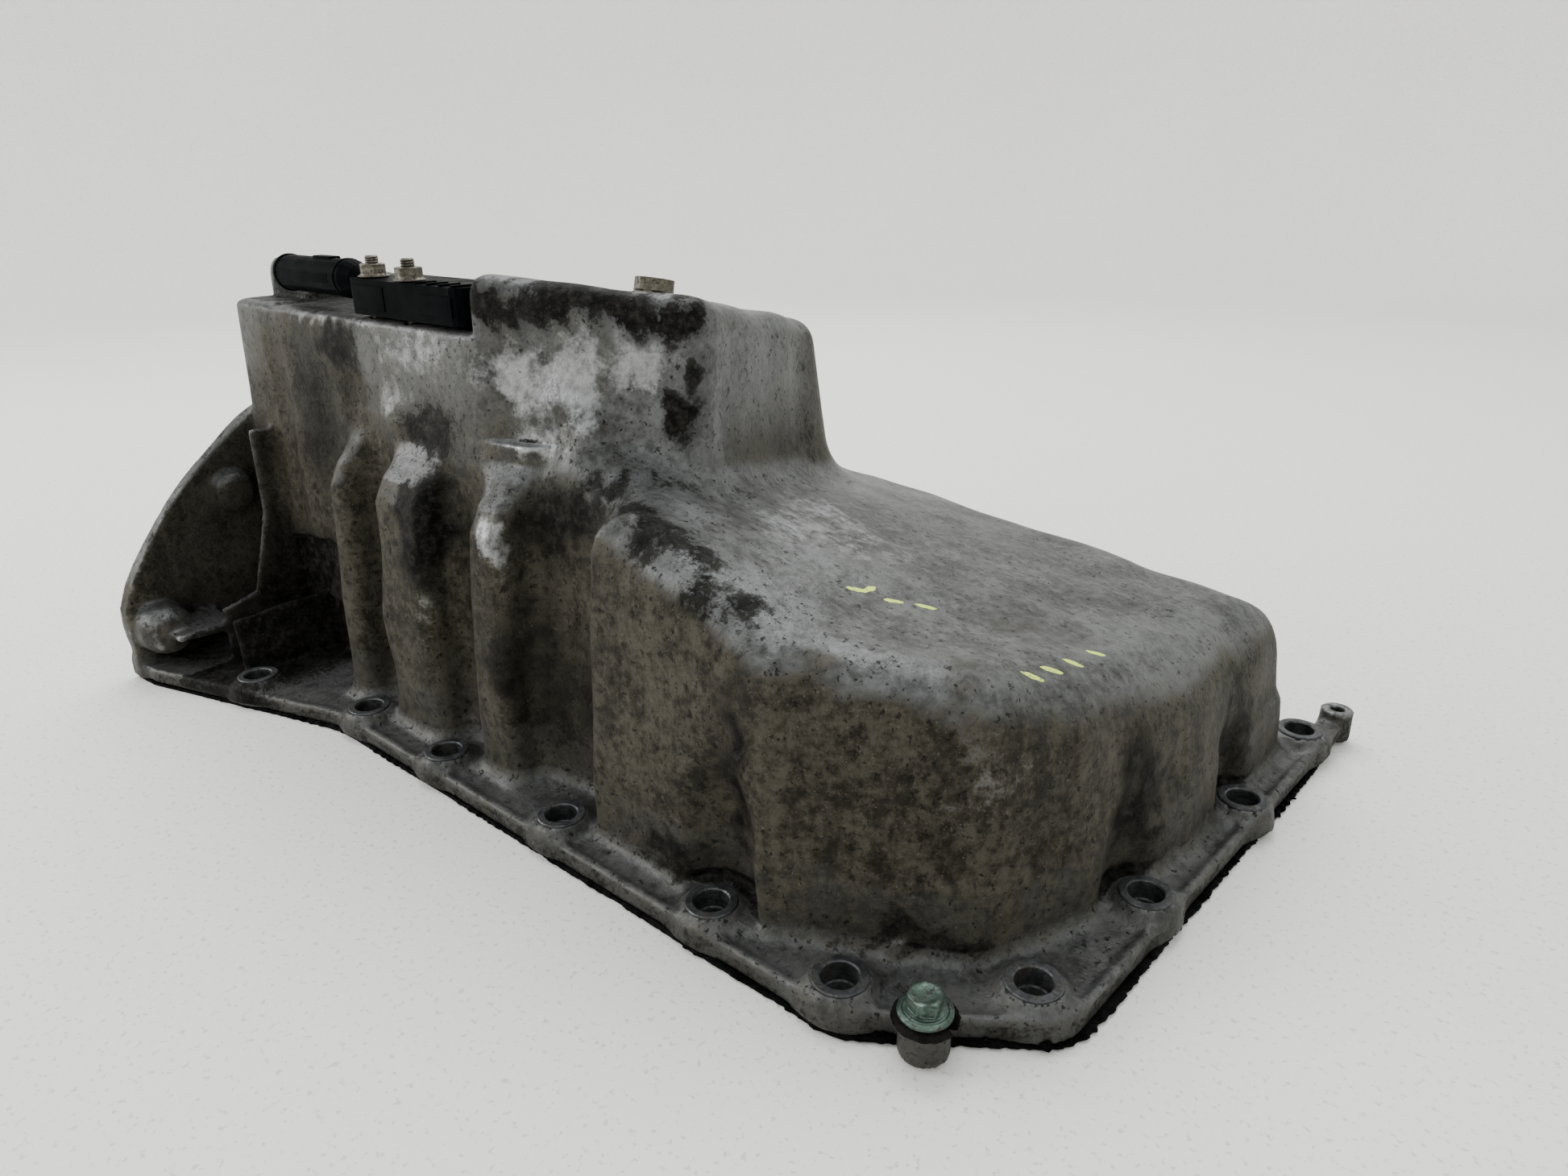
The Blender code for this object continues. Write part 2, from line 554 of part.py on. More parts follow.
def level_sensor(plastic, rubber, steel, brass):
    low = NOTCH_FLOOR + GAP
    body = prism("sensor_housing", rounded(SENSOR_OUTLINE, 3), low, SENSOR_TOP, plastic)
    spigot = straight("sensor_spigot", SPIGOT_R - 0.2, -9.0, 4.0, (*SENSOR, low), segments=28)
    barrel_low = (SENSOR_LEFT_X - BARREL_LONG, BARREL_Y, BARREL_Z)
    profile = [(7.6, 0.0), (8.2, 1.5), (8.2, 60.0), (6.0, 66.0), (1.2, BARREL_LONG + 2.0)]
    barrel = turned("sensor_barrel", profile, barrel_low, (1, 0, 0), 20)
    base = straight("sensor_base", SENSOR_BASE_R, 0.0, SENSOR_BASE_HIGH, (*SENSOR, low), segments=28)
    boolean(body, [base, spigot, barrel], "UNION")
    cuts = [straight("sensor_socket", 6.0, -3.0, 16.0, barrel_low, (1, 0, 0), 20)]
    cuts.append(straight("sensor_probe_seat", PROBE_R + GAP, -12.0, -2.0, (*SENSOR, low), segments=SEGMENTS))
    for i, (x, y) in enumerate(STUDS):
        cuts.append(straight(f"sensor_stud_way_{i}", STUD_R + GAP, -3, 24, (x, y, low), segments=14))
    boolean(body, cuts, "DIFFERENCE")
    for k in range(3):
        pin = (barrel_low[0] + 6.0, BARREL_Y + 3.0 * (k - 1), BARREL_Z)
        half = 0.8
        end = (pin[0] + 9.7, pin[1] + half, pin[2] + half)
        box(f"sensor_pin_{k + 1}", (pin[0], pin[1] - half, pin[2] - half), end, brass)
    bore_r, top = PROBE_R - 3.5, -2.3
    profile = [(bore_r, -PROBE_LONG), (PROBE_R - 1.0, -PROBE_LONG - 2.0), (PROBE_R, -PROBE_LONG - 0.5)]
    profile += [(PROBE_R, top), (bore_r, top)]
    ring_solid("sensor_probe_tube", profile, (*SENSOR, low), finish=steel)
    seat_low = NOTCH_FLOOR - 2.4 + GAP
    section = []
    for k in range(8):
        angle = math.tau * (k + 0.5) / 8
        section.append((ORING_R + 1.1 * math.cos(angle), seat_low + 1.1 + 1.1 * math.sin(angle)))
    ring_solid("sensor_oring", section, (*SENSOR, 0), segments=28, finish=rubber)
    for i, (x, y) in enumerate(STUDS):
        profile = [(STUD_R - 0.5, -STUD_SUNK), (STUD_R, 0.8 - STUD_SUNK)]
        profile += [(STUD_R, STUD_HIGH - 0.8), (STUD_R - 0.8, STUD_HIGH)]
        turned(f"sensor_stud_{i + 1}", profile, (x, y, NOTCH_FLOOR), segments=14, finish=steel)
        seat = Vector((x, y, SENSOR_TOP + GAP))
        nut = turned(f"sensor_nut_{i + 1}", [(6.4, 0.0), (6.5, 0.9), (5.0, 1.5)], seat, segments=20, finish=steel)
        boolean(nut, [hexagon(f"nut_hex_{i}", 10.0, 0.3, 5.4, seat, (0, 0, 1), steel)], "UNION")
        boolean(nut, [straight(f"nut_bore_{i}", STUD_R + GAP, -3, 9, seat, segments=14)], "DIFFERENCE")


def bracket_bolt(zinc, rubber):
    """The small bolt left in the front lug, with its captive washer and what is left of a clip."""
    x, y = LEFT_TUBE
    low = TUBE_TOP + GAP
    collar_top = low + COLLAR_THICK
    profile = [(3.6, low), (9.4, low), (10.0, low + 1.2), (9.0, collar_top), (3.6, collar_top)]
    ring_solid("rubber_collar", profile, (x, y, 0), segments=20, finish=rubber)
    washer = collar_top + GAP
    washer_top = washer + WASHER_THICK
    profile = [(3.4, washer), (8.1, washer), (8.3, washer + 0.7), (7.6, washer_top), (3.4, washer_top)]
    ring_solid("bracket_bolt_washer", profile, (x, y, 0), finish=zinc)
    seat = Vector((x, y, washer_top + GAP))
    flanged_bolt("bracket_bolt", 10.0, 5.2, 5.9, 0.8, 3.0, 15.0, seat, (0, 0, 1), zinc)


def oil_baffle(sheet, steel):
    """The sheet that keeps oil down in the deep end, held from below by four bolts."""
    low = BAFFLE_TOP - GAP - BAFFLE_THICK
    outline = [(-184.0, -88.0, 6.0), (-70.0, -88.0, 6.0), (-70.0, -76.0, 4.0)]
    outline += [(-22.0, -76.0, 6.0), (-22.0, -95.5, 6.0), (6.0, -95.5, 6.0), (16.0, -60.0, 20.0)]
    outline += [(16.0, 105.5, 6.0), (-12.0, 105.5, 6.0)]
    outline += [(-12.0, 76.0, 6.0), (-70.0, 76.0, 4.0), (-70.0, 88.0, 6.0), (-184.0, 88.0, 6.0)]
    plate = prism("oil_baffle", rounded(outline, 3), low, low + BAFFLE_THICK, sheet)
    pickup = [(-110.0, -40.0, 10.0), (-20.0, -40.0, 10.0), (-20.0, 40.0, 10.0), (-110.0, 40.0, 10.0)]
    cuts = [prism("pickup_hole", rounded(pickup, 4), low - 3, low + 5)]
    for k in range(4):
        x = -172.0 + 14.0 * k
        cuts.append(box(f"baffle_slot_{k}", (x, -50.0, low - 3), (x + 5.0, 50.0, low + 5)))
    for i, (x, y) in enumerate(BAFFLE_LUGS):
        cuts.append(straight(f"baffle_way_{i}", BAFFLE_HOLE_R, -3, 5, (x, y, low), segments=12))
    boolean(plate, cuts, "DIFFERENCE")
    for i, (x, y) in enumerate(BAFFLE_LUGS):
        seat = Vector((x, y, low - GAP))
        flanged_bolt(f"baffle_bolt_{i + 1}", 8.0, 4.4, 5.6, 1.2, 3.0, 14.0, seat, (0, 0, -1), steel)


def bell_dowels(steel):
    for side, name in ((-1, "left"), (1, "right")):
        centre = (REAR_FACE_X, side * DOWEL_Y, DOWEL_Z)
        profile = [(DOWEL_BORE_R, -7.0), (DOWEL_R - 0.4, -7.0), (DOWEL_R, -6.0)]
        profile += [(DOWEL_R, DOWEL_SUNK), (DOWEL_BORE_R, DOWEL_SUNK)]
        ring_solid(f"bell_dowel_{name}", profile, centre, (1, 0, 0), finish=steel)


def main():
    clear_scene()
    aluminium = material("cast_aluminium", (0.33, 0.32, 0.29), 0.85, 0.5)
    black = material("black_sealant", (0.015, 0.014, 0.013), 0.0, 0.6)
    plastic = material("black_plastic", (0.02, 0.02, 0.022), 0.0, 0.4)
    rubber = material("black_rubber", (0.018, 0.017, 0.016), 0.0, 0.75)
    steel = material("plated_steel", (0.45, 0.43, 0.38), 0.9, 0.4)
    zinc = material("green_zinc", (0.42, 0.52, 0.45), 0.85, 0.35)
    copper = material("copper", (0.55, 0.27, 0.15), 0.95, 0.4)
    brass = material("brass_pins", (0.65, 0.5, 0.25), 0.95, 0.3)
    sheet = material("baffle_steel", (0.4, 0.4, 0.38), 0.9, 0.45)
    casting(aluminium)
    gasket(black)
    drain(steel, copper)
    level_sensor(plastic, rubber, steel, brass)
    bracket_bolt(zinc, rubber)
    oil_baffle(sheet, steel)
    bell_dowels(steel)


main()
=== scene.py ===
"""The looks of the cast-aluminium oil pan. The CAD casting has flat facets and sharp inner corners,
so the casting is built again here as a distance field, in which walls, flutes, ribs and bosses run
into each other with the soft fillets of a sand casting. Its shapes are drawn in millimetres, in the
CAD's drawing frame, and moved to the row frame at the end."""

import math
import random

import bmesh
import bpy
import numpy as np
from mathutils import Matrix, Vector, noise

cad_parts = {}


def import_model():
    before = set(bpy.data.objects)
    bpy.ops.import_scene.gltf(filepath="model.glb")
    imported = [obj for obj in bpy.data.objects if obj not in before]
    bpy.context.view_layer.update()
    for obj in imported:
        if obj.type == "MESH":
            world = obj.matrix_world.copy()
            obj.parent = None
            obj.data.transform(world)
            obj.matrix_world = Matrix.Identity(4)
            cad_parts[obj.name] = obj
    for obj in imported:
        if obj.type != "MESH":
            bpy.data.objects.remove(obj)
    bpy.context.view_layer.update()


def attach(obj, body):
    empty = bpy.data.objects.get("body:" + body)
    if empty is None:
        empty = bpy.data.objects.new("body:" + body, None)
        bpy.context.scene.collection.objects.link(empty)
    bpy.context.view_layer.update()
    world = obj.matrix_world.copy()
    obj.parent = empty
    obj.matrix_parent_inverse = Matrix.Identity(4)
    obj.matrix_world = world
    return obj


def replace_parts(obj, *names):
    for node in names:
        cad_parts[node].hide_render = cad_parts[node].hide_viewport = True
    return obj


random.seed(7)

# The drawing frame: millimetres, with X shifted from the row frame by this much.
MM = 0.001
SHIFT_X = 1.85
# The spacing of the distance field's grid.
CELL = 1.3

# How far the sealant may reach from the middle of the row frame along X and Y.
BEAD_REACH_X = 253.4
BEAD_REACH_Y = 176.6

# The studio: watts of its lights, and metres.
WORLD_STRENGTH = 1.38
WINDOW_WATTS = 26.0
CEILING_WATTS = 34.0
TABLE_R = 1.9
TABLE_CURVE_R = 0.5
BACKDROP_HIGH = 1.6

# Driving sizes, as the CAD has them.
FLANGE_BOTTOM = 1.5
FLANGE_TOP = 9.5
BOSS_TOP = 13.5
WALL = 5.0
BOSS_R = 10.2
BOSS_CORE_R = 8.6
REAR_FACE_X = -248.5
PLATE_THICK = 10.0
BELL_RADIUS = 195.0
CRANK_Z = -41.5
NOTCH_FLOOR = 186.5
NOTCH_REAR_X = -196.0
NOTCH_FRONT_X = -29.5
DEEP_TOP_LEFT = 209.0
DEEP_TOP_LEFT_Y = -98.0
DEEP_SLOPE = 0.2
LEFT_TUBE = (206.0, -123.0)
LEFT_TUBE_TOP = 12.2
LEFT_TUBE_HOLE_R = 3.3
RIGHT_TUBE = (245.0, 150.0)
RIGHT_TUBE_TOP = 16.0
RIGHT_TUBE_HOLE_R = 2.8
COLLAR_THICK = 3.0
DRAIN = (-42.0, 11.0)
DRAIN_AXIS = Vector((0.0, DEEP_SLOPE, 1.0)).normalized()
DRAIN_HOLE_R = 6.3
LEDGE_Y = -78.0
SENSOR = (-70.0, -64.0)
SENSOR_TOP = 201.5
BARREL = (-185.5, -89.0, 200.0)
SPIGOT_R = 20.0
ORING_SEAT_R = 26.0
ORING_SEAT_DEEP = 2.4
STUDS = [(-106.0, -90.0), (-75.0, -91.5)]
STUD_HIGH = 24.0
STUD_SUNK = 3.4
STUD_HOLE_R = 3.3
GAP = 0.3
BAFFLE_LUGS = [(-8.0, -89.0), (3.0, 99.0), (-155.0, -81.0), (-155.0, 81.0)]
BAFFLE_TOP = 26.0
BAFFLE_HOLE_R = 3.3
# Holes in the bell-housing face: distance from the middle, height and depth.
BELL_HOLES = [(163.5, 27.0, 24.0), (116.0, 89.0, 14.0), (62.0, 130.0, 20.0)]
BELL_HOLE_R = 5.2
DOWEL_HOLE = (150.0, 64.0, 5.5)
DOWEL_HOLE_R = 7.3
# The left wall's buttresses, from X to X, and the height of the shallow wall's step.
BUTTRESSES = [(-18.5, 2.5), (-86.5, -51.5), (-128.0, -113.5)]
STEP_Z = 33.0
STEP_DEEP = 1.6

LEFT_HOLES = [(176.5, -125.0), (121.8, -125.0), (41.3, -125.2), (-35.2, -126.6), (-98.5, -127.2)]
FRONT_HOLES = [(222.5, -89.0), (231.0, -26.7), (236.1, 53.6), (236.5, 125.0)]
RIGHT_HOLES = [(160.0, 127.0), (85.0, 127.0), (10.0, 127.0), (-65.0, 127.0)]
REAR_HOLES = [(-172.0, -146.0), (-172.0, 146.0)]
HOLES = LEFT_HOLES + FRONT_HOLES + RIGHT_HOLES + REAR_HOLES
# Holes close to a wall: place, radius and top of the flute outside, radius of the bulge inside.
FLUTED_HOLES = [
    (LEFT_HOLES[1], 17.0, 74.0, 22.0),
    (FRONT_HOLES[1], 15.0, 62.0, 20.0),
    (FRONT_HOLES[2], 14.0, 58.0, 19.0),
]
FLUTED_HOLES += [(hole, 17.0, 74.0, 22.0) for hole in RIGHT_HOLES]

# Corners as X, Y and the radius that rounds them.
FLANGE_OUTLINE = [
    (REAR_FACE_X, -177.0, 3.0),
    (-228.0, -175.0, 10.0),
    (-110.0, -137.0, 60.0),
    (182.0, -135.0, 24.0),
    (238.0, -94.0, 20.0),
    (247.5, 136.0, 14.0),
    (-110.0, 138.0, 60.0),
    (-228.0, 175.0, 10.0),
    (REAR_FACE_X, 177.0, 3.0),
]
SHALLOW_FOOT = [
    (-30.0, -101.5, 4.0),
    (47.0, -101.5, 5.0),
    (55.0, -121.0, 8.0),
    (141.0, -123.0, 14.0),
    (204.0, -90.0, 30.0),
    (219.0, -50.0, 22.0),
    (231.0, 12.0, 30.0),
    (234.0, 119.0, 16.0),
    (-30.0, 121.0, 6.0),
]
DEEP_FOOT = [
    (-243.0, -103.0, 10.0),
    (20.0, -103.0, 26.0),
    (50.0, -60.0, 26.0),
    (46.0, 112.0, 26.0),
    (-243.0, 119.0, 10.0),
]
DEEP_RIM = [
    (-238.0, -99.0, 12.0),
    (-26.0, -97.0, 30.0),
    (56.0, -55.0, 12.0),
    (27.0, 46.0, 12.0),
    (-238.0, 50.0, 12.0),
]

# Where dirt, wear, painted shade and painted highlights lie on the casting: middle, reach along X, Y and Z, and
# strength. The dark spots are oil grime, and painted shade in the flute recesses and at the foot of the walls.
GRIME_AND_SHADE_SPOTS = [
    ((-20, -94, 198), (16, 14, 8), 1.1),
    ((6, -83, 198), (18, 14, 9), 1.15),
    ((30, -69, 197), (18, 14, 10), 1.15),
    ((50, -57, 194), (12, 14, 9), 1.1),
    ((47, -60, 160), (9, 10, 10), 1.3),
    ((56, -54, 178), (5, 7, 24), 0.8),
    ((-60, -99, 141), (22, 12, 12), 0.9),
    ((-54, -114, 108), (12, 14, 22), 1.5),
    ((4, -113, 64), (16, 12, 20), 0.75),
    ((14, -97, 116), (16, 12, 18), 0.9),
    ((30, -96, 124), (14, 12, 12), 0.8),
    ((40, -90, 137), (14, 10, 6), 0.8),
    ((56, -72, 134), (8, 16, 6), 0.5),
    ((62, -44, 126), (7, 16, 6), 0.45),
    ((58, -100, 131), (16, 12, 9), 0.85),
    ((76, -99, 127), (15, 12, 8), 0.85),
    ((95, -100, 122), (14, 10, 8), 0.85),
    ((111, -104, 116), (12, 10, 7), 0.8),
    ((122, -107, 110), (8, 9, 6), 0.8),
    ((37, 24, 140), (7, 10, 40), 0.5),
    ((126, -117, 60), (6, 9, 40), 0.85),
    ((96, -121, 21), (20, 9, 9), 0.85),
    ((188, -102, 16), (22, 14, 8), 0.85),
    ((222, -15, 40), (7, 11, 28), 0.85),
    ((229, 58, 34), (8, 14, 26), 0.85),
    ((-131, -98, 170), (18, 12, 11), 1.0),
    ((-158, -100, 138), (36, 12, 40), 0.62),
    ((20, -103, 45), (26, 12, 34), 0.6),
    ((-100, -103, 60), (10, 12, 50), 0.6),
]
# Bright spots: rubbed bare metal, and painted highlights on the deep wall's upper face and buttress shoulders and on
# the shallow end's top.
WEAR_AND_HIGHLIGHT_SPOTS = [
    ((-8, -90, 171), (16, 12, 14), 0.95),
    ((14, -82, 169), (18, 12, 16), 0.95),
    ((34, -67, 177), (13, 12, 12), 0.9),
    ((2, -90, 149), (18, 10, 8), 0.75),
    ((0, -113, 114), (9, 9, 11), 0.8),
    ((-5, -96, 145), (12, 9, 6), 0.5),
    ((-88, -100, 149), (16, 9, 10), 0.6),
    ((-52, -117, 76), (8, 8, 15), 0.4),
    ((-142, -98, 181), (40, 8, 5), 0.8),
    ((-70, -98, 172), (30, 8, 10), 0.6),
    ((202, -78, 66), (24, 14, 20), 0.24),
    ((98, -106, 121), (12, 7, 4), 0.4),
    ((92, -26, 116), (30, 40, 16), 0.6),
]
BROWN_SPOTS = [
    ((-165, -101, 120), (45, 14, 62), 1.0),
    ((173, -23, 94), (12, 12, 8), 0.6),
    ((184, -74, 98), (12, 10, 8), 0.6),
    ((147, -105, 98), (10, 8, 8), 0.6),
]
# Hollows of the left wall, and swellings where the depth is negative: X, Z, their reach, and depth.
DENTS = [
    (-120.0, 152.0, 18.0, 20.0, 3.2),
    (-92.0, 142.0, 11.0, 10.0, -2.2),
    (-150.0, 170.0, 22.0, 12.0, -1.6),
    (-62.0, 150.0, 14.0, 14.0, 2.4),
    (-38.0, 163.0, 16.0, 14.0, -1.6),
    (2.0, 176.0, 18.0, 12.0, 1.8),
    (26.0, 156.0, 26.0, 8.0, -2.4),
    (48.0, 184.0, 16.0, 12.0, 1.4),
    (-55.0, 185.0, 14.0, 8.0, 1.2),
    (-150.0, 118.0, 9.0, 40.0, 2.2),
    (-20.0, 134.0, 12.0, 8.0, -1.8),
]
# The place of the upright fold in the left wall.
FOLD_X = -193.0


# ---------------------------------------------------------------- distance field


def rounded(corners, steps=8):
    """A closed outline through corners of (x, y, radius), with an arc at each corner."""
    points = []
    count = len(corners)
    for i, (x, y, radius) in enumerate(corners):
        here = Vector((x, y))
        before = Vector(corners[i - 1][:2]) - here
        after = Vector(corners[(i + 1) % count][:2]) - here
        half = before.angle(after) / 2
        reach = min(radius / math.tan(half), 0.48 * before.length, 0.48 * after.length)
        radius = reach * math.tan(half)
        centre = here + (before.normalized() + after.normalized()).normalized() * radius / math.sin(half)
        first = here + before.normalized() * reach - centre
        last = here + after.normalized() * reach - centre
        turn = first.angle_signed(last)
        for k in range(steps + 1):
            arm = first.copy()
            arm.rotate(Matrix.Rotation(-turn * k / steps, 2))
            points.append(centre + arm)
    return [tuple(p) for p in points]


def outline_distance(points, u, v):
    """Signed distance from every (u, v) to a closed outline, negative inside."""
    u, v = np.broadcast_arrays(u, v)
    nearest = np.full(u.shape, 1e9, np.float32)
    inside = np.zeros(u.shape, bool)
    for (u0, v0), (u1, v1) in zip(points, points[1:] + points[:1]):
        du, dv = u1 - u0, v1 - v0
        length = du * du + dv * dv
        if length < 1e-9:
            continue
        share = np.clip(((u - u0) * du + (v - v0) * dv) / length, 0, 1)
        nearest = np.minimum(nearest, (u - u0 - share * du) ** 2 + (v - v0 - share * dv) ** 2)
        if dv:
            crosses = ((v0 > v) != (v1 > v)) & (u < du * (v - v0) / dv + u0)
            inside ^= crosses
    distance = np.sqrt(nearest)
    return np.where(inside, -distance, distance)


def blend_min(a, b, soft):
    """The union of two distances, with a fillet of about this radius."""
    if soft <= 0:
        return np.minimum(a, b)
    near = np.maximum(soft - np.abs(a - b), 0) / soft
    return np.minimum(a, b) - near * near * soft / 4


def blend_max(a, b, soft):
    return -blend_min(-a, -b, soft)


class Field:
    """A grid of signed distances in millimetres, negative inside the solid."""

    def __init__(self, low, high, cell):
        self.low = np.array(low, float)
        self.cell = cell
        axes = [np.arange(a, b + cell, cell, dtype=np.float32) for a, b in zip(low, high)]
        self.axes = axes
        self.value = np.full([len(a) for a in axes], 50.0, np.float32)

    def window(self, low, high):
        """The slices that cover a box, and the open coordinate arrays inside it."""
        cuts = []
        for axis, a, b in zip(self.axes, low, high):
            first = max(0, int(np.searchsorted(axis, a)))
            last = max(first, int(np.searchsorted(axis, b)))
            cuts.append(slice(first, last))
        x, y, z = (axis[cut] for axis, cut in zip(self.axes, cuts))
        return tuple(cuts), (x[:, None, None], y[None, :, None], z[None, None, :])

    def join(self, shape, low, high, soft=0.0):
        cuts, (x, y, z) = self.window(low, high)
        self.value[cuts] = blend_min(self.value[cuts], shape(x, y, z), soft)

    def cut(self, shape, low, high, soft=0.0):
        cuts, (x, y, z) = self.window(low, high)
        self.value[cuts] = blend_max(self.value[cuts], -shape(x, y, z), soft)


EVERYWHERE = ((-999.0, -999.0, -999.0), (999.0, 999.0, 999.0))


def prism(points, low, high, soft=0.0):
    """An upright solid on an outline in X and Y."""

    def shape(x, y, z):
        wall = outline_distance(points, x[:, :, 0], y[:, :, 0])[:, :, None]
        return blend_max(wall, np.abs(z - (low + high) / 2) - (high - low) / 2, soft)

    return shape


def block(low, high, soft=0.0):
    middle = [(a + b) / 2 for a, b in zip(low, high)]
    half = [(b - a) / 2 for a, b in zip(low, high)]

    def shape(x, y, z):
        sides = [np.abs(c - m) - h for c, m, h in zip((x, y, z), middle, half)]
        return blend_max(blend_max(sides[0], sides[1], soft), sides[2], soft)

    return shape


def plate_on_x(points, low, high, soft=0.0):
    """A plate across X on an outline in Y and Z."""

    def shape(x, y, z):
        wall = outline_distance(points, y[0, :, :], z[0, :, :])[None, :, :]
        return blend_max(wall, np.abs(x - (low + high) / 2) - (high - low) / 2, soft)

    return shape


def plate_on_y(points, low, high, soft=0.0):
    """A block across Y on an outline in X and Z."""

    def shape(x, y, z):
        wall = outline_distance(points, x[:, 0, :], z[0, :, :].reshape(1, -1))[:, None, :]
        return blend_max(wall, np.abs(y - (low + high) / 2) - (high - low) / 2, soft)

    return shape


def cone(centre, axis, stations, soft=0.0):
    """A turned solid: stations are (distance along axis, radius)."""
    axis = np.array(Vector(axis).normalized())
    along_at = np.array([s for s, _ in stations], np.float32)
    radius_at = np.array([r for _, r in stations], np.float32)
    middle, half = (along_at[0] + along_at[-1]) / 2, (along_at[-1] - along_at[0]) / 2

    def shape(x, y, z):
        arm = [c - m for c, m in zip((x, y, z), centre)]
        along = sum(a * b for a, b in zip(arm, axis))
        square = sum(a * a for a in arm)
        radial = np.sqrt(np.maximum(square - along * along, 0))
        wall = radial - np.interp(along, along_at, radius_at).astype(np.float32)
        return blend_max(wall, np.abs(along - middle) - half, soft)

    return shape


def upright(x, y, stations, soft=0.0):
    return cone((x, y, 0.0), (0, 0, 1), stations, soft)


def near_box(x, y, reach, low, high):
    return (x - reach, y - reach, low), (x + reach, y + reach, high)


# ---------------------------------------------------------------- the casting's shapes


def shallow_height(x, y):
    """Height of the shallow end's sloping top: a shelf at the front and a ramp to the deep end."""
    across = (y + 125.0) / 230.0
    front = 110.5 - 62.0 * across + 20.0 * across**2
    crease = 110.5 - 38.0 * across + 10.0 * across**2
    back = 154.5 - 60.0 * across
    crease_x = 138.0 + 25.0 * across
    shelf = crease + (front - crease) * np.clip((x - crease_x) / (216.0 - crease_x), 0, 1)
    roll_off = np.minimum(30.0, 0.05 * np.maximum(0.0, 28.0 - x) ** 2)
    ramp = crease + (back - crease) * (crease_x - x) / (crease_x - 35.0) - roll_off
    return blend_max(shelf, ramp, 6.0)


def deep_height(y):
    return DEEP_TOP_LEFT - DEEP_SLOPE * (y - DEEP_TOP_LEFT_Y)


def shallow_solid(inset, step_deep=0.0):
    """The shallow end, smaller by inset; its front wall steps in above a low band."""
    foot = rounded(SHALLOW_FOOT)

    def shape(x, y, z):
        wall = outline_distance(foot, x[:, :, 0], y[:, :, 0])[:, :, None] + inset
        wall = wall + step_deep * np.clip((z - STEP_Z) / 5.0, 0, 1) * np.clip((x - 125.0) / 20.0, 0, 1)
        top = shallow_height(x, y) - inset
        lean = 7.0 * np.clip(z / top, 0, 1) ** 1.5
        return blend_max(wall + lean, (z - top) * 0.93, 24.0)

    return shape


def deep_solid(inset):
    """The deep end, whose walls lean from its foot to its rim."""
    foot, rim = rounded(DEEP_FOOT), rounded(DEEP_RIM)

    def shape(x, y, z):
        low = outline_distance(foot, x[:, :, 0], y[:, :, 0])[:, :, None]
        high = outline_distance(rim, x[:, :, 0], y[:, :, 0])[:, :, None]
        top = deep_height(y) - inset
        share = np.clip((z - 5.0) / (top - 5.0), 0, 1)
        wall = low + (high - low) * share + inset
        return blend_max(wall * 0.96, (z - top) * 0.98, 11.0)

    return shape


def buttress(x_low, x_high):
    """A rounded rib of the left wall, whose top leans back into the wall."""

    def shape(x, y, z):
        heights, faces = (6, 60, 112, 122, 130, 137), (-120, -120.5, -117, -112, -104, -95)
        face = np.interp(z, heights, faces).astype(np.float32)
        sides = np.abs(x - (x_low + x_high) / 2) - (x_high - x_low) / 2 - 0.02 * (130 - z)
        return blend_max(blend_max(sides, face - y, 9.0), np.abs(y + 100) - 22, 0)

    return shape


def bell_outline():
    """The bell-housing plate in Y and Z: an arc round the crankshaft on two upright ends."""
    corner_z = 50.0
    start = math.asin((corner_z - CRANK_Z) / BELL_RADIUS)
    arc = []
    for k in range(37):
        angle = start + (math.pi - 2 * start) * k / 36
        arc.append((BELL_RADIUS * math.cos(angle), CRANK_Z + BELL_RADIUS * math.sin(angle)))
    half, shoulder_z = 177.0, 38.0
    return [(-half, FLANGE_BOTTOM), (half, FLANGE_BOTTOM), (half, shoulder_z)] + arc + [(-half, shoulder_z)]


def mirrored(points, side):
    return [(side * -y, z) for y, z in points]


def dish(points, margin, depth):
    """What lowers the flange inside its rounded outer lip."""

    def shape(x, y, z):
        wall = outline_distance(points, x[:, :, 0], y[:, :, 0])[:, :, None]
        return blend_max(wall + margin, FLANGE_TOP - depth - z, 1.0)

    return shape


def add_walls(field):
    flange = rounded(FLANGE_OUTLINE)
    field.join(prism(flange, FLANGE_BOTTOM, FLANGE_TOP, 2.0), *EVERYWHERE)
    field.cut(dish(flange, 4.0, 1.4), (-230, -180, 4), (260, 180, 14), soft=2.0)
    field.join(shallow_solid(0.0, STEP_DEEP), *EVERYWHERE, soft=7.0)
    field.join(deep_solid(0.0), *EVERYWHERE, soft=16.0)
    for x_low, x_high in BUTTRESSES:
        field.join(buttress(x_low, x_high), (x_low - 14, -124, 5), (x_high + 14, -84, 145), soft=9.0)
    plate = plate_on_x(bell_outline(), REAR_FACE_X, REAR_FACE_X + PLATE_THICK, 2.0)
    field.join(plate, (-252, -180, 0), (-226, 180, 160), soft=6.0)


def dent_wall(field):
    """The left wall's uneven skin: soft hollows and swellings, and a fold near its rear end."""
    cuts, (x, y, z) = field.window((-230, -130, 60), (70, -45, 205))
    skin = -80 + 0.51 * np.clip(x + 26, 0, 90)
    for middle_x, middle_z, reach_x, reach_z, depth in DENTS:
        share = np.exp(-(((x - middle_x) / reach_x) ** 2) - ((z - middle_z) / reach_z) ** 2)
        field.value[cuts] += depth * share * np.clip((skin - y) / 15, 0, 1)
    fold = upright(FOLD_X, -110.0, [(60, 7.0), (120, 10.0), (190, 9.6)], 2.0)
    field.cut(fold, (FOLD_X - 22, -130, 55), (FOLD_X + 22, -85, 200), soft=7.0)


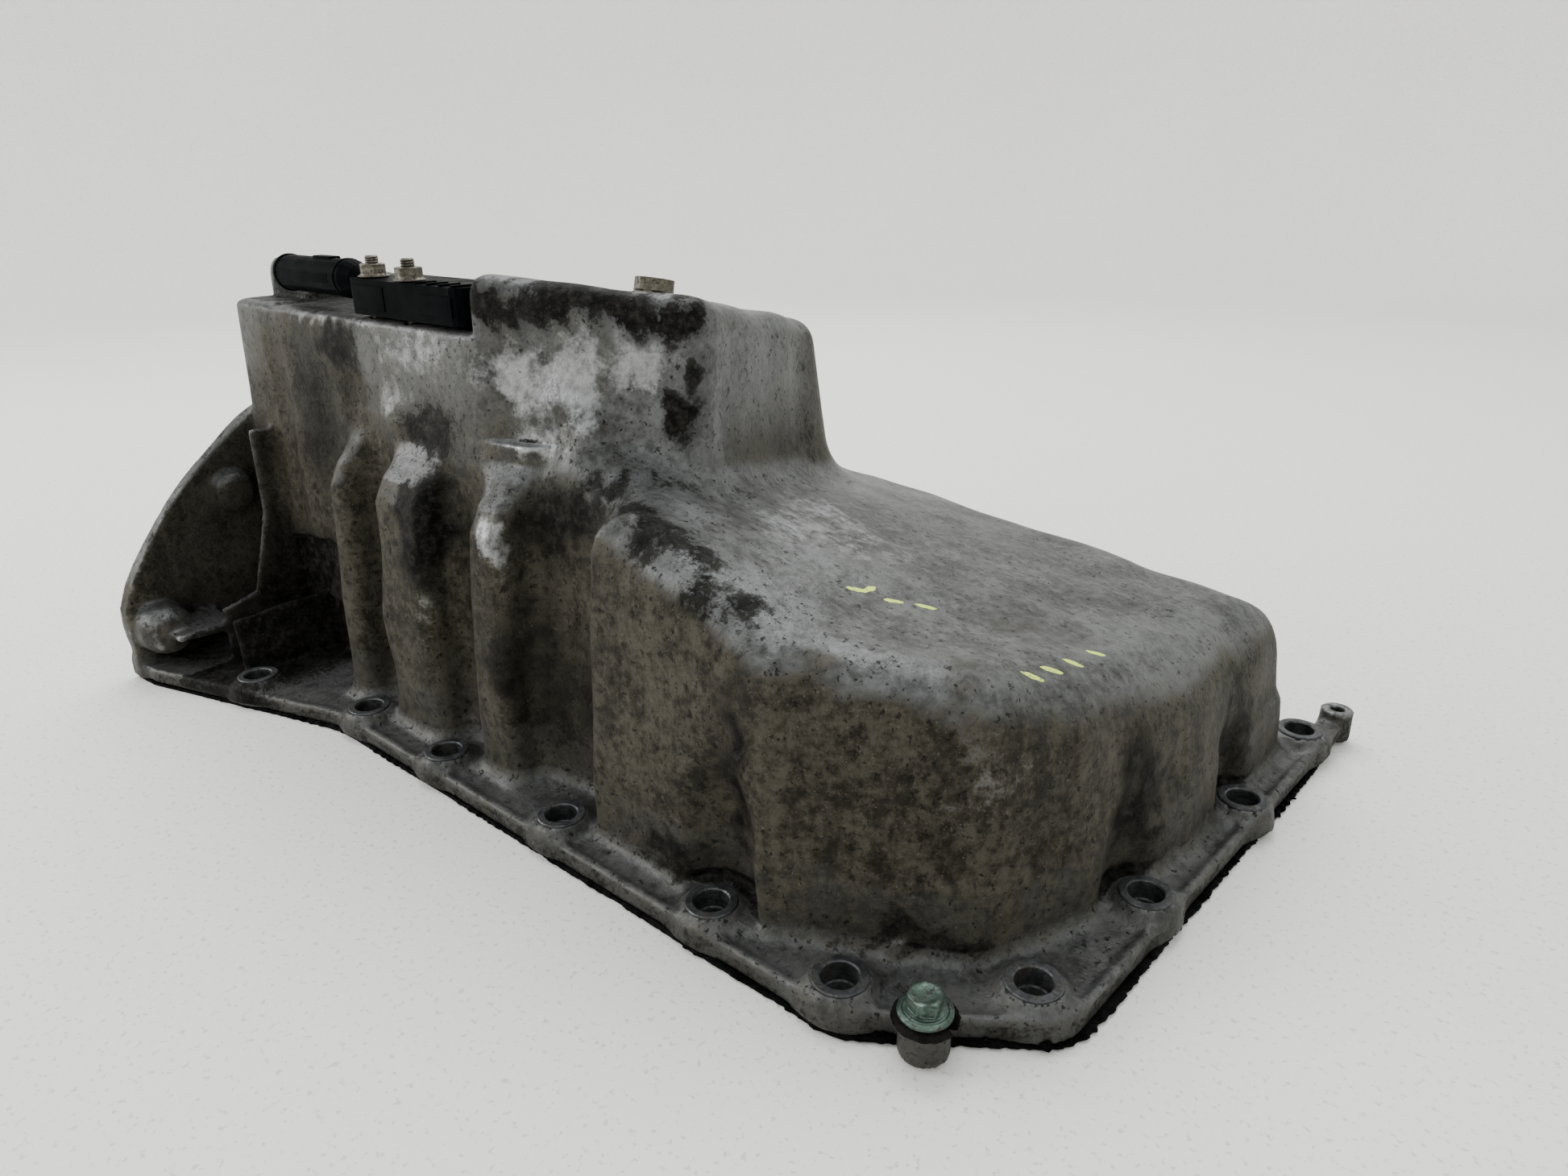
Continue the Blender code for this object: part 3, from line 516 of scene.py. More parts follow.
def add_ribs(field):
    """Two ribs at each rear corner, which tie the bell-housing plate to the deep end."""
    rib_1 = [(-142.0, 6.5), (-142.0, 36.0), (-124.0, 41.5), (-113.0, 82.0), (-112.0, 124.0)]
    rib_1 += [(-95.0, 124.0), (-95.0, 6.5)]
    rib_2 = [(-146.0, 6.5), (-147.0, 38.0), (-122.0, 40.0), (-98.0, 40.0), (-98.0, 6.5)]
    for side in (-1, 1):
        for rib, x in ((rib_1, -214.0), (rib_2, -189.0)):
            low_y, high_y = sorted((side * 90.0, side * 155.0))
            shape = plate_on_x(mirrored(rib, side), x, x + 5.0, 2.5)
            field.join(shape, (x - 8, low_y, 2), (x + 13, high_y, 132), soft=5.0)


def add_bosses(field):
    """Bosses of the bell-housing bolts and the flange bolts, both tubular lugs, and a small pip."""
    for side in (-1, 1):
        low_y, high_y = sorted((side * 136.0, side * 166.0))
        level = block((REAR_FACE_X + 4, low_y, 25.0), (-209.5, high_y, 29.0), 1.5)
        field.join(level, (-250, low_y - 4, 18), (-204, high_y + 4, 36), soft=3.0)
        y, z = side * BELL_HOLES[0][0], BELL_HOLES[0][1]
        corner = cone((REAR_FACE_X, y, z), (1, 0, 0), [(2, 13.4), (20, 12.5), (26, 10), (29, 6)], 2.0)
        field.join(corner, (-250, y - 17, 9), (-214, y + 17, 46), soft=4.0)
        y, z = side * BELL_HOLES[1][0], BELL_HOLES[1][1]
        upper = cone((REAR_FACE_X, y, z), (1, 0, 0), [(2, 10.5), (17, 9.8), (20, 7)], 2.0)
        field.join(upper, (-250, y - 15, 72), (-224, y + 15, 106), soft=5.0)
    profile = [(3.0, BOSS_R + 3.0), (FLANGE_TOP, BOSS_R + 1.4), (BOSS_TOP - 0.5, BOSS_R - 0.2)]
    for x, y in HOLES:
        field.join(upright(x, y, profile, 1.6), *near_box(x, y, 20, 2, 18), soft=4.5)
    tube = upright(*LEFT_TUBE, [(0.5, 7.4), (3.0, 7.9), (LEFT_TUBE_TOP, 7.6)], 1.0)
    field.join(tube, *near_box(*LEFT_TUBE, 14, 0, 16), soft=2.5)
    arm = block((238.5, 126.0, 3.0), (249.0, 148.0, 11.5), 3.0)
    field.join(arm, (230, 118, 1), (254, 156, 15), soft=3.0)
    tube = upright(*RIGHT_TUBE, [(0.5, 6.4), (3.0, 6.8), (RIGHT_TUBE_TOP, 6.6)], 1.0)
    field.join(tube, *near_box(*RIGHT_TUBE, 9, 0, 18), soft=2.0)
    pip = upright(181.0, -101.5, [(9.0, 3.4), (13.5, 2.2)], 1.0)
    field.join(pip, *near_box(181, -101.5, 9, 8, 16), soft=3.0)


def cut_flutes(field):
    """The hollows that let a socket reach the bolts that stand close to a wall."""
    for (x, y), radius, tall, _ in FLUTED_HOLES:
        profile = [(FLANGE_TOP, radius), (0.6 * tall, 0.86 * radius), (tall, 0.3 * radius)]
        field.cut(upright(x, y, profile, 3.0), *near_box(x, y, 26, FLANGE_TOP + 1, 90), soft=6.0)


def cut_rear_pockets(field):
    """The pockets between the ribs at each rear corner."""
    middle = [(-208.5, FLANGE_TOP), (-189.5, FLANGE_TOP), (-189.5, 40.5), (-180.0, 40.5), (-157.0, 70.0)]
    middle += [(-165.0, 73.0), (-208.5, 66.0)]
    for side in (-1, 1):
        low_y, high_y = sorted((side * 97.0, side * 200.0))
        reach = ((-240, low_y - 4, FLANGE_TOP - 2), (-120, high_y, 80))
        field.cut(plate_on_y(middle, low_y, high_y, 1.0), *reach, soft=2.5)
        field.cut(block((-238.0, low_y, FLANGE_TOP), (-214.5, high_y, 75.0)), *reach, soft=2.5)
        field.cut(block((-183.5, low_y, FLANGE_TOP), (-130.0, high_y, 39.5)), *reach, soft=2.5)


def cut_inside(field):
    """The hollow of the pan, open at the gasket face, with bosses left inside it."""
    hollow = Field(field.low, [a[-1] - field.cell / 2 for a in field.axes], field.cell)
    hollow.join(deep_solid(WALL), *EVERYWHERE)
    hollow.join(shallow_solid(WALL), *EVERYWHERE, soft=10.0)
    for (x, y), _, _, radius in FLUTED_HOLES:
        bulge = upright(x, y, [(-9, radius), (40, radius), (80, 8)], 3.0)
        hollow.cut(bulge, *near_box(x, y, 30, -9, 90), soft=6.0)
    for side in (-1, 1):
        low_y, high_y = sorted((side * 92.0, side * 160.0))
        shelf = block((-260, low_y, -20), (-120, high_y, 79), 3.0)
        hollow.cut(shelf, (-260, low_y - 9, -9), (-110, high_y, 92), soft=6.0)
        y, z = side * BELL_HOLES[2][0], BELL_HOLES[2][1]
        boss = cone((REAR_FACE_X, y, z), (1, 0, 0), [(0, 10), (27, 10)], 3.0)
        hollow.cut(boss, (-252, y - 16, z - 18), (-212, y + 16, z + 18), soft=5.0)
    for x, y in BAFFLE_LUGS:
        lug = upright(x, y, [(BAFFLE_TOP, 11.5), (60, 12.5), (84, 4)], 1.0)
        hollow.cut(lug, *near_box(x, y, 20, 20, 92), soft=4.0)
    notch = block((-202, -150, NOTCH_FLOOR - WALL), (-24, 40, 240), 3.0)
    hollow.cut(notch, (-210, -150, 170), (-16, 48, 215), soft=4.0)
    ledge = block((-260, -150, NOTCH_FLOOR - WALL), (-198, LEDGE_Y + 6, 240), 3.0)
    hollow.cut(ledge, (-255, -150, 170), (-190, LEDGE_Y + 12, 215), soft=4.0)
    seat = Vector((*DRAIN, deep_height(DRAIN[1])))
    hollow.cut(cone(seat, DRAIN_AXIS, [(-16, 13), (20, 13)], 2.0), *near_box(*DRAIN, 24, 150, 215), soft=5.0)
    field.value = blend_max(field.value, -hollow.value, 0.0)
    return hollow


def cut_bores(field, places, radius, low, high, reach):
    """Upright bores from low to high at each (x, y)."""
    for x, y in places:
        field.cut(upright(x, y, [(low, radius), (high, radius)]), *near_box(x, y, *reach))


def cut_openings(field):
    """The machined cuts, which stay sharp."""
    notch = [(NOTCH_REAR_X, -160.0, 2.0), (NOTCH_FRONT_X, -160.0, 2.0)]
    notch += [(NOTCH_FRONT_X, 40.0, 8.0), (NOTCH_REAR_X, 40.0, 8.0)]
    field.cut(prism(rounded(notch), NOTCH_FLOOR, 300.0, 0.0), (-215, -130, 170), (-10, 60, 215), soft=5.0)
    ledge = block((-270, -170, NOTCH_FLOOR + 0.4), (NOTCH_REAR_X + 2, LEDGE_Y, 300), 0.0)
    field.cut(ledge, (-255, -130, 170), (-180, LEDGE_Y + 10, 215), soft=5.0)
    above = 230
    cut_bores(field, [SENSOR], SPIGOT_R + GAP, 150, above, (24, 160, 215))
    cut_bores(field, [SENSOR], ORING_SEAT_R, NOTCH_FLOOR - ORING_SEAT_DEEP, above, (30, 160, 215))
    cut_bores(field, STUDS, STUD_HOLE_R, NOTCH_FLOOR - 4, above, (8, 178, 215))
    cut_bores(field, HOLES, BOSS_CORE_R, -5, 30, (13, -5, 22))
    cut_bores(field, [LEFT_TUBE], LEFT_TUBE_HOLE_R, -5, 30, (8, -5, 22))
    cut_bores(field, [RIGHT_TUBE], RIGHT_TUBE_HOLE_R, -5, 30, (8, -5, 22))
    cut_bores(field, BAFFLE_LUGS, BAFFLE_HOLE_R, BAFFLE_TOP - 9, BAFFLE_TOP + 16, (8, 18, 45))
    rear_holes = [(*hole, BELL_HOLE_R) for hole in BELL_HOLES] + [(*DOWEL_HOLE, DOWEL_HOLE_R)]
    for side in (-1, 1):
        for y, z, deep, radius in rear_holes:
            bore = cone((REAR_FACE_X, side * y, z), (1, 0, 0), [(-5, radius), (deep, radius)])
            reach = radius + 3.8
            low, high = (-260, side * y - reach, z - reach), (-215, side * y + reach, z + reach)
            field.cut(bore, low, high)
    seat = Vector((*DRAIN, deep_height(DRAIN[1])))
    drain = cone(seat, DRAIN_AXIS, [(-40, DRAIN_HOLE_R), (20, DRAIN_HOLE_R)])
    field.cut(drain, *near_box(*DRAIN, 20, 150, 215))
    field.cut(block((-260, -200, -10), (270, 200, FLANGE_BOTTOM)), (-260, -200, -10), (270, 200, 6))
    field.cut(block((-270, -200, -10), (REAR_FACE_X, 200, 250)), (-270, -200, -10), (-240, 200, 250))


def uneven(field):
    """The slow unevenness of a sand mould: a few long waves, a quarter of a millimetre high."""
    x, y, z = (a.reshape(s) for a, s in zip(field.axes, ((-1, 1, 1), (1, -1, 1), (1, 1, -1))))
    total = np.zeros_like(field.value)
    for _ in range(7):
        wave = [random.uniform(-1, 1) for _ in range(3)]
        pitch = math.tau / random.uniform(28, 70)
        phase = random.uniform(0, 6)
        total += np.sin(pitch * (wave[0] * x + wave[1] * y + wave[2] * z) + phase).astype(np.float32)
    return total * 0.2 * np.clip((z - 12.0) / 20.0, 0, 1)


CORNERS = [(i, j, k) for i in (0, 1) for j in (0, 1) for k in (0, 1)]


def surface_net(value):
    """Vertices (in cells) and quads of the zero surface of a grid, one vertex in each cell it crosses."""
    inside = value < 0
    shape = np.array(value.shape) - 1
    count = np.zeros(shape, np.int8)
    for i, j, k in CORNERS:
        count += inside[i : shape[0] + i, j : shape[1] + j, k : shape[2] + k]
    cells = np.argwhere((count > 0) & (count < 8))
    number = np.full(shape, -1, np.int64)
    number[tuple(cells.T)] = np.arange(len(cells))
    total = np.zeros((len(cells), 3))
    hits = np.zeros(len(cells))
    for start in CORNERS:
        for axis in range(3):
            if start[axis]:
                continue
            end = list(start)
            end[axis] = 1
            a = value[tuple((cells + start).T)]
            b = value[tuple((cells + end).T)]
            crossed = (a < 0) != (b < 0)
            share = np.where(crossed, a / np.where(crossed, a - b, 1), 0)
            point = np.tile(np.array(start, float), (len(cells), 1))
            point[:, axis] += share
            total += np.where(crossed[:, None], point, 0)
            hits += crossed
    quads = []
    for axis in range(3):
        step = [0, 0, 0]
        step[axis] = 1
        low = inside[: -1 if step[0] else None, : -1 if step[1] else None, : -1 if step[2] else None]
        high = inside[step[0] :, step[1] :, step[2] :]
        edges = np.argwhere(low != high)
        others = [k for k in range(3) if k != axis]
        for k in others:
            edges = edges[(edges[:, k] > 0) & (edges[:, k] < shape[k])]
        edges = edges[edges[:, axis] < shape[axis]]
        around = []
        for first, second in ((0, 0), (1, 0), (1, 1), (0, 1)):
            cell = edges.copy()
            cell[:, others[0]] -= first
            cell[:, others[1]] -= second
            around.append(number[tuple(cell.T)])
        quad = np.stack(around, axis=1)
        outward = inside[tuple(edges.T)] ^ (axis == 1)
        quads.append(np.where(outward[:, None], quad, quad[:, ::-1]))
    return cells + total / hits[:, None], np.concatenate(quads)


def sample(grid, points):
    """The grid's value at points given in cells."""
    base = np.clip(points.astype(int), 0, np.array(grid.shape) - 2)
    share = points - base
    result = np.zeros(len(points))
    for corner in CORNERS:
        weight = np.prod([share[:, k] if corner[k] else 1 - share[:, k] for k in range(3)], axis=0)
        result += weight * grid[tuple((base + corner).T)]
    return result


def blurred(grid, rounds):
    for _ in range(rounds):
        for axis in range(3):
            grid = (np.roll(grid, 1, axis) + 2 * grid + np.roll(grid, -1, axis)) / 4
    return grid


def blob(place, spots):
    """How strongly any of the spots covers each place, 1 at a spot's middle and 0 outside it. Two
    waves bend the outlines."""
    total = np.zeros(len(place))
    place = place + 3.6 * np.sin(place[:, [2, 0, 1]] * 0.23 + (0.4, 1.9, 3.1))
    place = place + 2.0 * np.sin(place[:, [1, 2, 0]] * 0.61 + (2.2, 0.7, 1.3))
    for middle, radius, amount in spots:
        reach = np.sqrt((((place - middle) / radius) ** 2).sum(axis=1))
        total = np.maximum(total, amount * np.clip(1.5 - reach, 0, 1))
    return total


def ramped(value, low, high):
    share = np.clip((value - low) / (high - low), 0, 1)
    return share * share * (3 - 2 * share)


def paint_layers(place, normal, edge, hollow_depth):
    """The layers of dirt, wear, painted shade and painted highlights on the casting, each from 0 to 1 at every vertex.
    """
    x, y, z = place.T
    up = normal[:, 2]
    inside = ramped(-hollow_depth, -1.6, -0.6) * (z > FLANGE_BOTTOM + 0.5)
    lofty = ramped(z, 105.0, 175.0)
    # Film share: a brown oil film, and painted shade that darkens the walls the less they face up. It is thinner high
    # on the left wall, on the deep end's front and below the front wall's step.
    film_and_wall_shade = 1.0 - ramped(up, 0.25, 0.8) - 0.6 * lofty * (y < -40) - 0.9 * lofty * ramped(x, 22.0, 40.0)
    film_and_wall_shade = film_and_wall_shade - 0.25 * ramped(z, 36.0, 30.0) * (z > 14) + blob(place, BROWN_SPOTS)
    # On the flange, painted shade: the film, and so the darker tone, grows as the face turns away from up.
    film_and_wall_shade = np.where(z < 14, 0.55 - 0.25 * ramped(up, 0.5, 0.95), film_and_wall_shade)
    # Concave corners and creases turn black: grime, and painted shade.
    corner = ramped(-edge, 0.25, 1.3)
    # Painted shade in the pockets between the rear ribs and on the bell-housing plate.
    pocket_shade = ramped(-x, 140.0, 172.0) * ramped(x, -212.0, -206.0) * ramped(z, 95.0, 50.0)
    plate = ramped(-x, 203.0, 209.0) * ramped(z, 164.0, 150.0) * ramped(-np.abs(y), -166.0, -158.0)
    painted_rear_shade = (0.95 * pocket_shade + 0.42 * plate) * (z > 4) * (np.abs(y) > 85) * (x > REAR_FACE_X + 2)
    # Dark spots: oil grime, and painted shade in the recesses and at the foot of the walls.
    spot_grime_and_shade = blob(place, GRIME_AND_SHADE_SPOTS)
    grime_and_shade = 0.75 * corner * (z > 6) + painted_rear_shade + spot_grime_and_shade
    flange = ramped(z, 15.0, 13.0)
    # Bright share: rubbed convex edges, and painted highlights from the bright spots.
    bare_and_highlight = ramped(edge, 0.3, 1.3) * (0.6 - 0.3 * flange) + blob(place, WEAR_AND_HIGHLIGHT_SPOTS) - 0.6 * spot_grime_and_shade
    # Painted shade on the flange: it turns black where it faces sideways or down.
    grime_and_shade = grime_and_shade + 0.5 * flange * ramped(up, 0.4, 0.1)
    notch = (x < NOTCH_FRONT_X) & ((x > NOTCH_REAR_X) | (y < LEDGE_Y))
    milled = notch & (np.abs(z - NOTCH_FLOOR) < 0.7) & (up > 0.9)
    machined = (x < REAR_FACE_X + 1.2) | milled
    return {"film_and_wall_shade": film_and_wall_shade, "grime_and_shade": grime_and_shade, "bare_and_highlight": bare_and_highlight, "inside": inside, "machined": machined}


def build_casting():
    field = Field((-253.0, -181.0, -3.0), (256.0, 181.0, 213.0), CELL)
    add_walls(field)
    cut_flutes(field)
    dent_wall(field)
    add_ribs(field)
    cut_rear_pockets(field)
    add_bosses(field)
    field.value += uneven(field)
    cut_openings(field)
    outside = np.clip(field.value, -8, 8)
    hollow = cut_inside(field)
    cut_openings(field)
    points, quads = surface_net(field.value)
    hollow_depth = sample(hollow.value, points)
    sharpness = np.where(hollow_depth > 1.0, sample(blurred(outside, 6), points), 0.0)
    place = points * CELL + field.low
    mesh = bpy.data.meshes.new("casting_skin")
    mesh.vertices.add(len(place))
    mesh.vertices.foreach_set("co", ((place + (SHIFT_X, 0, 0)) * MM).astype(np.float32).ravel())
    mesh.loops.add(quads.size)
    mesh.loops.foreach_set("vertex_index", quads.astype(np.int32).ravel())
    mesh.polygons.add(len(quads))
    mesh.polygons.foreach_set("loop_start", np.arange(0, quads.size, 4, dtype=np.int32))
    mesh.update(calc_edges=True)
    mesh.shade_smooth()
    normal = np.zeros(len(place) * 3, np.float32)
    mesh.vertex_normals.foreach_get("vector", normal)
    layers = paint_layers(place, normal.reshape(-1, 3), sharpness, hollow_depth)
    for name, value in layers.items():
        layer = mesh.attributes.new(name, "FLOAT", "POINT")
        layer.data.foreach_set("value", value.astype(np.float32))
    skin = bpy.data.objects.new("casting_skin", mesh)
    bpy.context.scene.collection.objects.link(skin)
    mesh.materials.append(casting_finish())
    return skin


# ---------------------------------------------------------------- finishes


class Finish:
    """One procedural material, put together node by node, with its noise fixed to the object."""

    def __init__(self, name, metallic=0.0, roughness=0.5):
        self.made = bpy.data.materials.new(name)
        self.made.use_nodes = True
        self.tree = self.made.node_tree
        self.shader = self.tree.nodes["Principled BSDF"]
        self.set("Metallic", metallic)
        self.set("Roughness", roughness)
        self.place = self.tree.nodes.new("ShaderNodeTexCoord").outputs["Object"]

    def feed(self, socket, value):
        if isinstance(value, bpy.types.NodeSocket):
            self.tree.links.new(value, socket)
        elif isinstance(value, tuple) and socket.type == "RGBA":
            socket.default_value = (*value, 1.0)
        else:
            socket.default_value = value

    def set(self, name, value):
        self.feed(self.shader.inputs[name], value)

    def node(self, kind, out, **inputs):
        """A node of this kind with its inputs fed by name, and the output that is wanted of it."""
        made = self.tree.nodes.new(kind)
        for name, value in inputs.items():
            self.feed(made.inputs[name.replace("_", " ")], value)
        return made.outputs[out]

    def noise(self, scale, detail=5.0, rough=0.6, stretch=None, warp=0.0):
        """Noise from 0 to 1, with about this many lumps to a metre."""
        place = self.place
        if stretch:
            place = self.node("ShaderNodeMapping", "Vector", Vector=place, Scale=stretch)
        inputs = {"Vector": place, "Scale": scale, "Detail": detail, "Roughness": rough, "Distortion": warp}
        return self.node("ShaderNodeTexNoise", "Fac", **inputs)

    def layer(self, name):
        made = self.tree.nodes.new("ShaderNodeAttribute")
        made.attribute_name = name
        return made.outputs["Fac"]

    def math(self, operation, *values):
        made = self.tree.nodes.new("ShaderNodeMath")
        made.operation = operation
        for socket, value in zip(made.inputs, values):
            self.feed(socket, value)
        return made.outputs["Value"]

    def total(self, start, *terms):
        """start plus each (weight, noise), with the noise counted from its middle."""
        for weight, value in terms:
            start = self.math("MULTIPLY_ADD", value, weight, self.math("SUBTRACT", start, 0.5 * weight))
        return start

    def step(self, value, low, high):
        made = self.tree.nodes.new("ShaderNodeMapRange")
        made.interpolation_type = "SMOOTHSTEP"
        self.feed(made.inputs["Value"], value)
        made.inputs["From Min"].default_value = low
        made.inputs["From Max"].default_value = high
        return made.outputs["Result"]

    def mix(self, share, first, second):
        """Two colours, or two numbers, mixed by a share."""
        kind = "VALUE" if isinstance(second, float) else "RGBA"
        made = self.tree.nodes.new("ShaderNodeMix")
        made.data_type = "FLOAT" if kind == "VALUE" else "RGBA"
        factor, first_in, second_in = [s for s in made.inputs if s.enabled]
        self.feed(factor, share)
        self.feed(first_in, first)
        self.feed(second_in, second)
        return [s for s in made.outputs if s.enabled][0]

    def bump(self, height, distance, strength=1.0):
        inputs = {"Height": height, "Distance": distance, "Strength": strength}
        self.set("Normal", self.node("ShaderNodeBump", "Normal", **inputs))


def casting_finish():
    """Sand-cast aluminium under films of dry oil: pale above and brown on the walls, the brown partly painted shade;
    black in corners, as grime and painted shade; rubbed bright where it is handled, with painted highlights."""
    finish = Finish("oily_cast_aluminium")
    blotch = finish.noise(16.0, 6.0, 0.62, warp=0.3)
    mottle = finish.noise(75.0, 7.0, 0.7)
    grain = finish.noise(520.0, 4.0, 0.65)
    speckle = finish.noise(260.0, 5.0, 0.75)
    streak = finish.noise(1.0, 5.0, 0.6, stretch=(95.0, 95.0, 8.0), warp=0.2)
    patch_noise = finish.noise(38.0, 8.0, 0.72, warp=0.6)

    # The film share darkens the walls: partly a brown oil film, partly painted shade.
    film_and_wall_shade = finish.total(finish.layer("film_and_wall_shade"), (0.6, streak), (0.9, mottle), (0.8, blotch), (0.6, speckle))
    film_and_wall_shade = finish.step(film_and_wall_shade, 0.1, 0.95)
    pale_share = finish.step(finish.total(0.5, (0.9, mottle), (1.1, blotch), (1.1, speckle)), 0.15, 0.85)
    pale = finish.mix(pale_share, (0.04, 0.04, 0.038), (0.14, 0.143, 0.143))
    brown_share = finish.step(finish.total(0.5, (0.7, streak), (1.0, mottle), (1.5, speckle)), 0.15, 0.85)
    brown = finish.mix(brown_share, (0.011, 0.0098, 0.007), (0.064, 0.058, 0.045))
    colour = finish.mix(film_and_wall_shade, pale, brown)
    metallic = finish.mix(film_and_wall_shade, 0.6, 0.3)
    roughness = finish.mix(film_and_wall_shade, finish.mix(mottle, 0.34, 0.5), finish.mix(mottle, 0.42, 0.62))

    varnish = finish.mix(brown_share, (0.09, 0.05, 0.018), (0.2, 0.13, 0.06))
    inside = finish.layer("inside")
    colour = finish.mix(inside, colour, varnish)
    roughness = finish.mix(inside, roughness, 0.33)

    fleck = finish.noise(1150.0, 2.0, 0.5)
    dust = finish.math("MULTIPLY", finish.step(fleck, 0.66, 0.72), finish.math("MULTIPLY", film_and_wall_shade, 0.55))
    colour = finish.mix(dust, colour, (0.12, 0.11, 0.085))
    pit = finish.step(finish.noise(400.0, 4.0, 0.65), 0.4, 0.33)
    colour = finish.mix(finish.math("MULTIPLY", pit, 0.85), colour, (0.009, 0.0085, 0.007))

    # Bright metal: rubbed wear, and painted highlights.
    bare_and_highlight = finish.total(finish.layer("bare_and_highlight"), (1.2, patch_noise), (1.0, mottle), (1.2, speckle))
    bare_and_highlight = finish.step(bare_and_highlight, 0.3, 1.1)
    colour = finish.mix(bare_and_highlight, colour, finish.mix(speckle, (0.07, 0.072, 0.075), (0.42, 0.425, 0.43)))
    metallic = finish.mix(bare_and_highlight, metallic, 0.9)
    roughness = finish.mix(bare_and_highlight, roughness, 0.36)

    # Black: oil grime, and painted shade in corners, rear pockets, recesses and on the flange's sides.
    grime_and_shade = finish.total(finish.layer("grime_and_shade"), (0.9, patch_noise), (1.3, mottle), (1.6, speckle), (0.6, grain))
    grime_and_shade = finish.step(grime_and_shade, 0.32, 0.85)
    grime_and_shade_black = finish.mix(finish.step(speckle, 0.42, 0.68), (0.0022, 0.0021, 0.0018), (0.022, 0.021, 0.018))
    colour = finish.mix(grime_and_shade, colour, grime_and_shade_black)
    metallic = finish.mix(grime_and_shade, metallic, 0.0)
    roughness = finish.mix(grime_and_shade, roughness, finish.mix(mottle, 0.3, 0.8))

    lines = finish.noise(1.0, 2.0, 0.5, stretch=(20.0, 20.0, 900.0))
    machined = finish.layer("machined")
    cut = finish.mix(lines, (0.12, 0.12, 0.115), (0.24, 0.24, 0.23))
    clean = finish.total(0.7, (1.3, blotch), (0.9, mottle), (0.6, speckle))
    clean = finish.math("MULTIPLY", machined, finish.step(clean, 0.1, 1.0))
    colour = finish.mix(clean, colour, cut)
    metallic = finish.mix(clean, metallic, 0.95)
    roughness = finish.mix(clean, roughness, 0.34)

    height = finish.total(0.0, (0.55, grain), (0.5, mottle), (0.6, grime_and_shade), (-0.5, pit))
    finish.bump(height, 0.0006, 0.9)
    finish.set("Base Color", colour)
    finish.set("Metallic", metallic)
    finish.set("Roughness", roughness)
    finish.set("Specular IOR Level", 0.05)
    return finish.made


def metal_finish(name, dark, light, roughness, grime_level=0.3, scale=1.0):
    """Worn metal: two tones of the metal, dark dirt in patches and fine scratches."""
    finish = Finish(name, metallic=0.9)
    mottle = finish.noise(190.0 * scale, 6.0, 0.65)
    fine = finish.noise(900.0 * scale, 4.0, 0.6)
    scratch = finish.noise(1.0, 4.0, 0.6, stretch=(260.0 * scale, 60.0 * scale, 700.0 * scale), warp=0.4)
    tone = finish.step(finish.total(0.5, (1.2, mottle), (0.8, scratch)), 0.25, 0.75)
    dirt = finish.step(finish.total(grime_level, (1.6, mottle), (0.8, fine)), 0.45, 0.62)
    finish.set("Base Color", finish.mix(dirt, finish.mix(tone, dark, light), (0.02, 0.018, 0.014)))
    finish.set("Metallic", finish.mix(dirt, 0.92, 0.1))
    finish.set("Roughness", finish.mix(dirt, finish.mix(tone, roughness + 0.12, roughness), 0.6))
    finish.bump(finish.total(0.0, (0.6, fine), (0.5, scratch), (0.5, dirt)), 0.00018, 0.8)
    return finish.made


def polymer_finish(name, dark, light, rough_low, rough_high, grain_height, dust=0.0, shine=0.02):
    """Plastic, rubber or sealant: near-black, mottled, with a grain and a little pale dust."""
    finish = Finish(name)
    mottle = finish.noise(120.0, 6.0, 0.65)
    fine = finish.noise(1400.0, 4.0, 0.6)
    tone = finish.step(finish.total(0.5, (1.4, mottle), (0.6, fine)), 0.25, 0.75)
    colour = finish.mix(tone, dark, light)
    specks = finish.step(finish.total(dust, (1.6, mottle), (1.0, fine)), 0.5, 0.75)
    finish.set("Base Color", finish.mix(specks, colour, (0.16, 0.15, 0.13)))
    finish.set("Roughness", finish.mix(tone, rough_high, rough_low))
    finish.set("Specular IOR Level", shine)
    finish.bump(finish.total(0.0, (0.7, fine), (0.6, mottle)), grain_height, 0.8)
    return finish.made


def paint_finish():
    """Marker paint: bright yellow-green, thin at its edges and worn through in specks."""
    finish = Finish("marker_paint", roughness=0.5)
    fine = finish.noise(700.0, 5.0, 0.65)
    worn = finish.step(finish.total(0.5, (2.0, fine)), 0.62, 0.78)
    finish.set("Base Color", finish.mix(worn, (0.62, 0.78, 0.09), (0.2, 0.21, 0.14)))
    finish.bump(fine, 0.0002, 0.7)
    return finish.made


def floor_finish():
    """An off-white table top with a fine warm speckle."""
    finish = Finish("pale_table", roughness=0.6)
    speck = finish.noise(420.0, 3.0, 0.6)
    cloud = finish.noise(2.2, 4.0, 0.5)
    base = finish.mix(cloud, (0.77, 0.76, 0.73), (0.83, 0.82, 0.79))
    dots = finish.step(speck, 0.57, 0.68)
    finish.set("Base Color", finish.mix(finish.math("MULTIPLY", dots, 0.5), base, (0.42, 0.36, 0.3)))
    finish.bump(speck, 0.0002, 0.5)
    return finish.made


# ---------------------------------------------------------------- small pieces


def frame_point(point):
    """A drawing point, in millimetres, in the row frame."""
    return (Vector(point) + Vector((SHIFT_X, 0, 0))) * MM


def new_piece(name, mesh, material, body, smooth_angle=40.0):
    data = bpy.data.meshes.new(name)
    bmesh.ops.recalc_face_normals(mesh, faces=mesh.faces)
    mesh.to_mesh(data)
    mesh.free()
    data.shade_smooth()
    data.set_sharp_from_angle(angle=math.radians(smooth_angle))
    data.materials.append(material)
    made = bpy.data.objects.new(name, data)
    bpy.context.scene.collection.objects.link(made)
    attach(made, body)
    return made


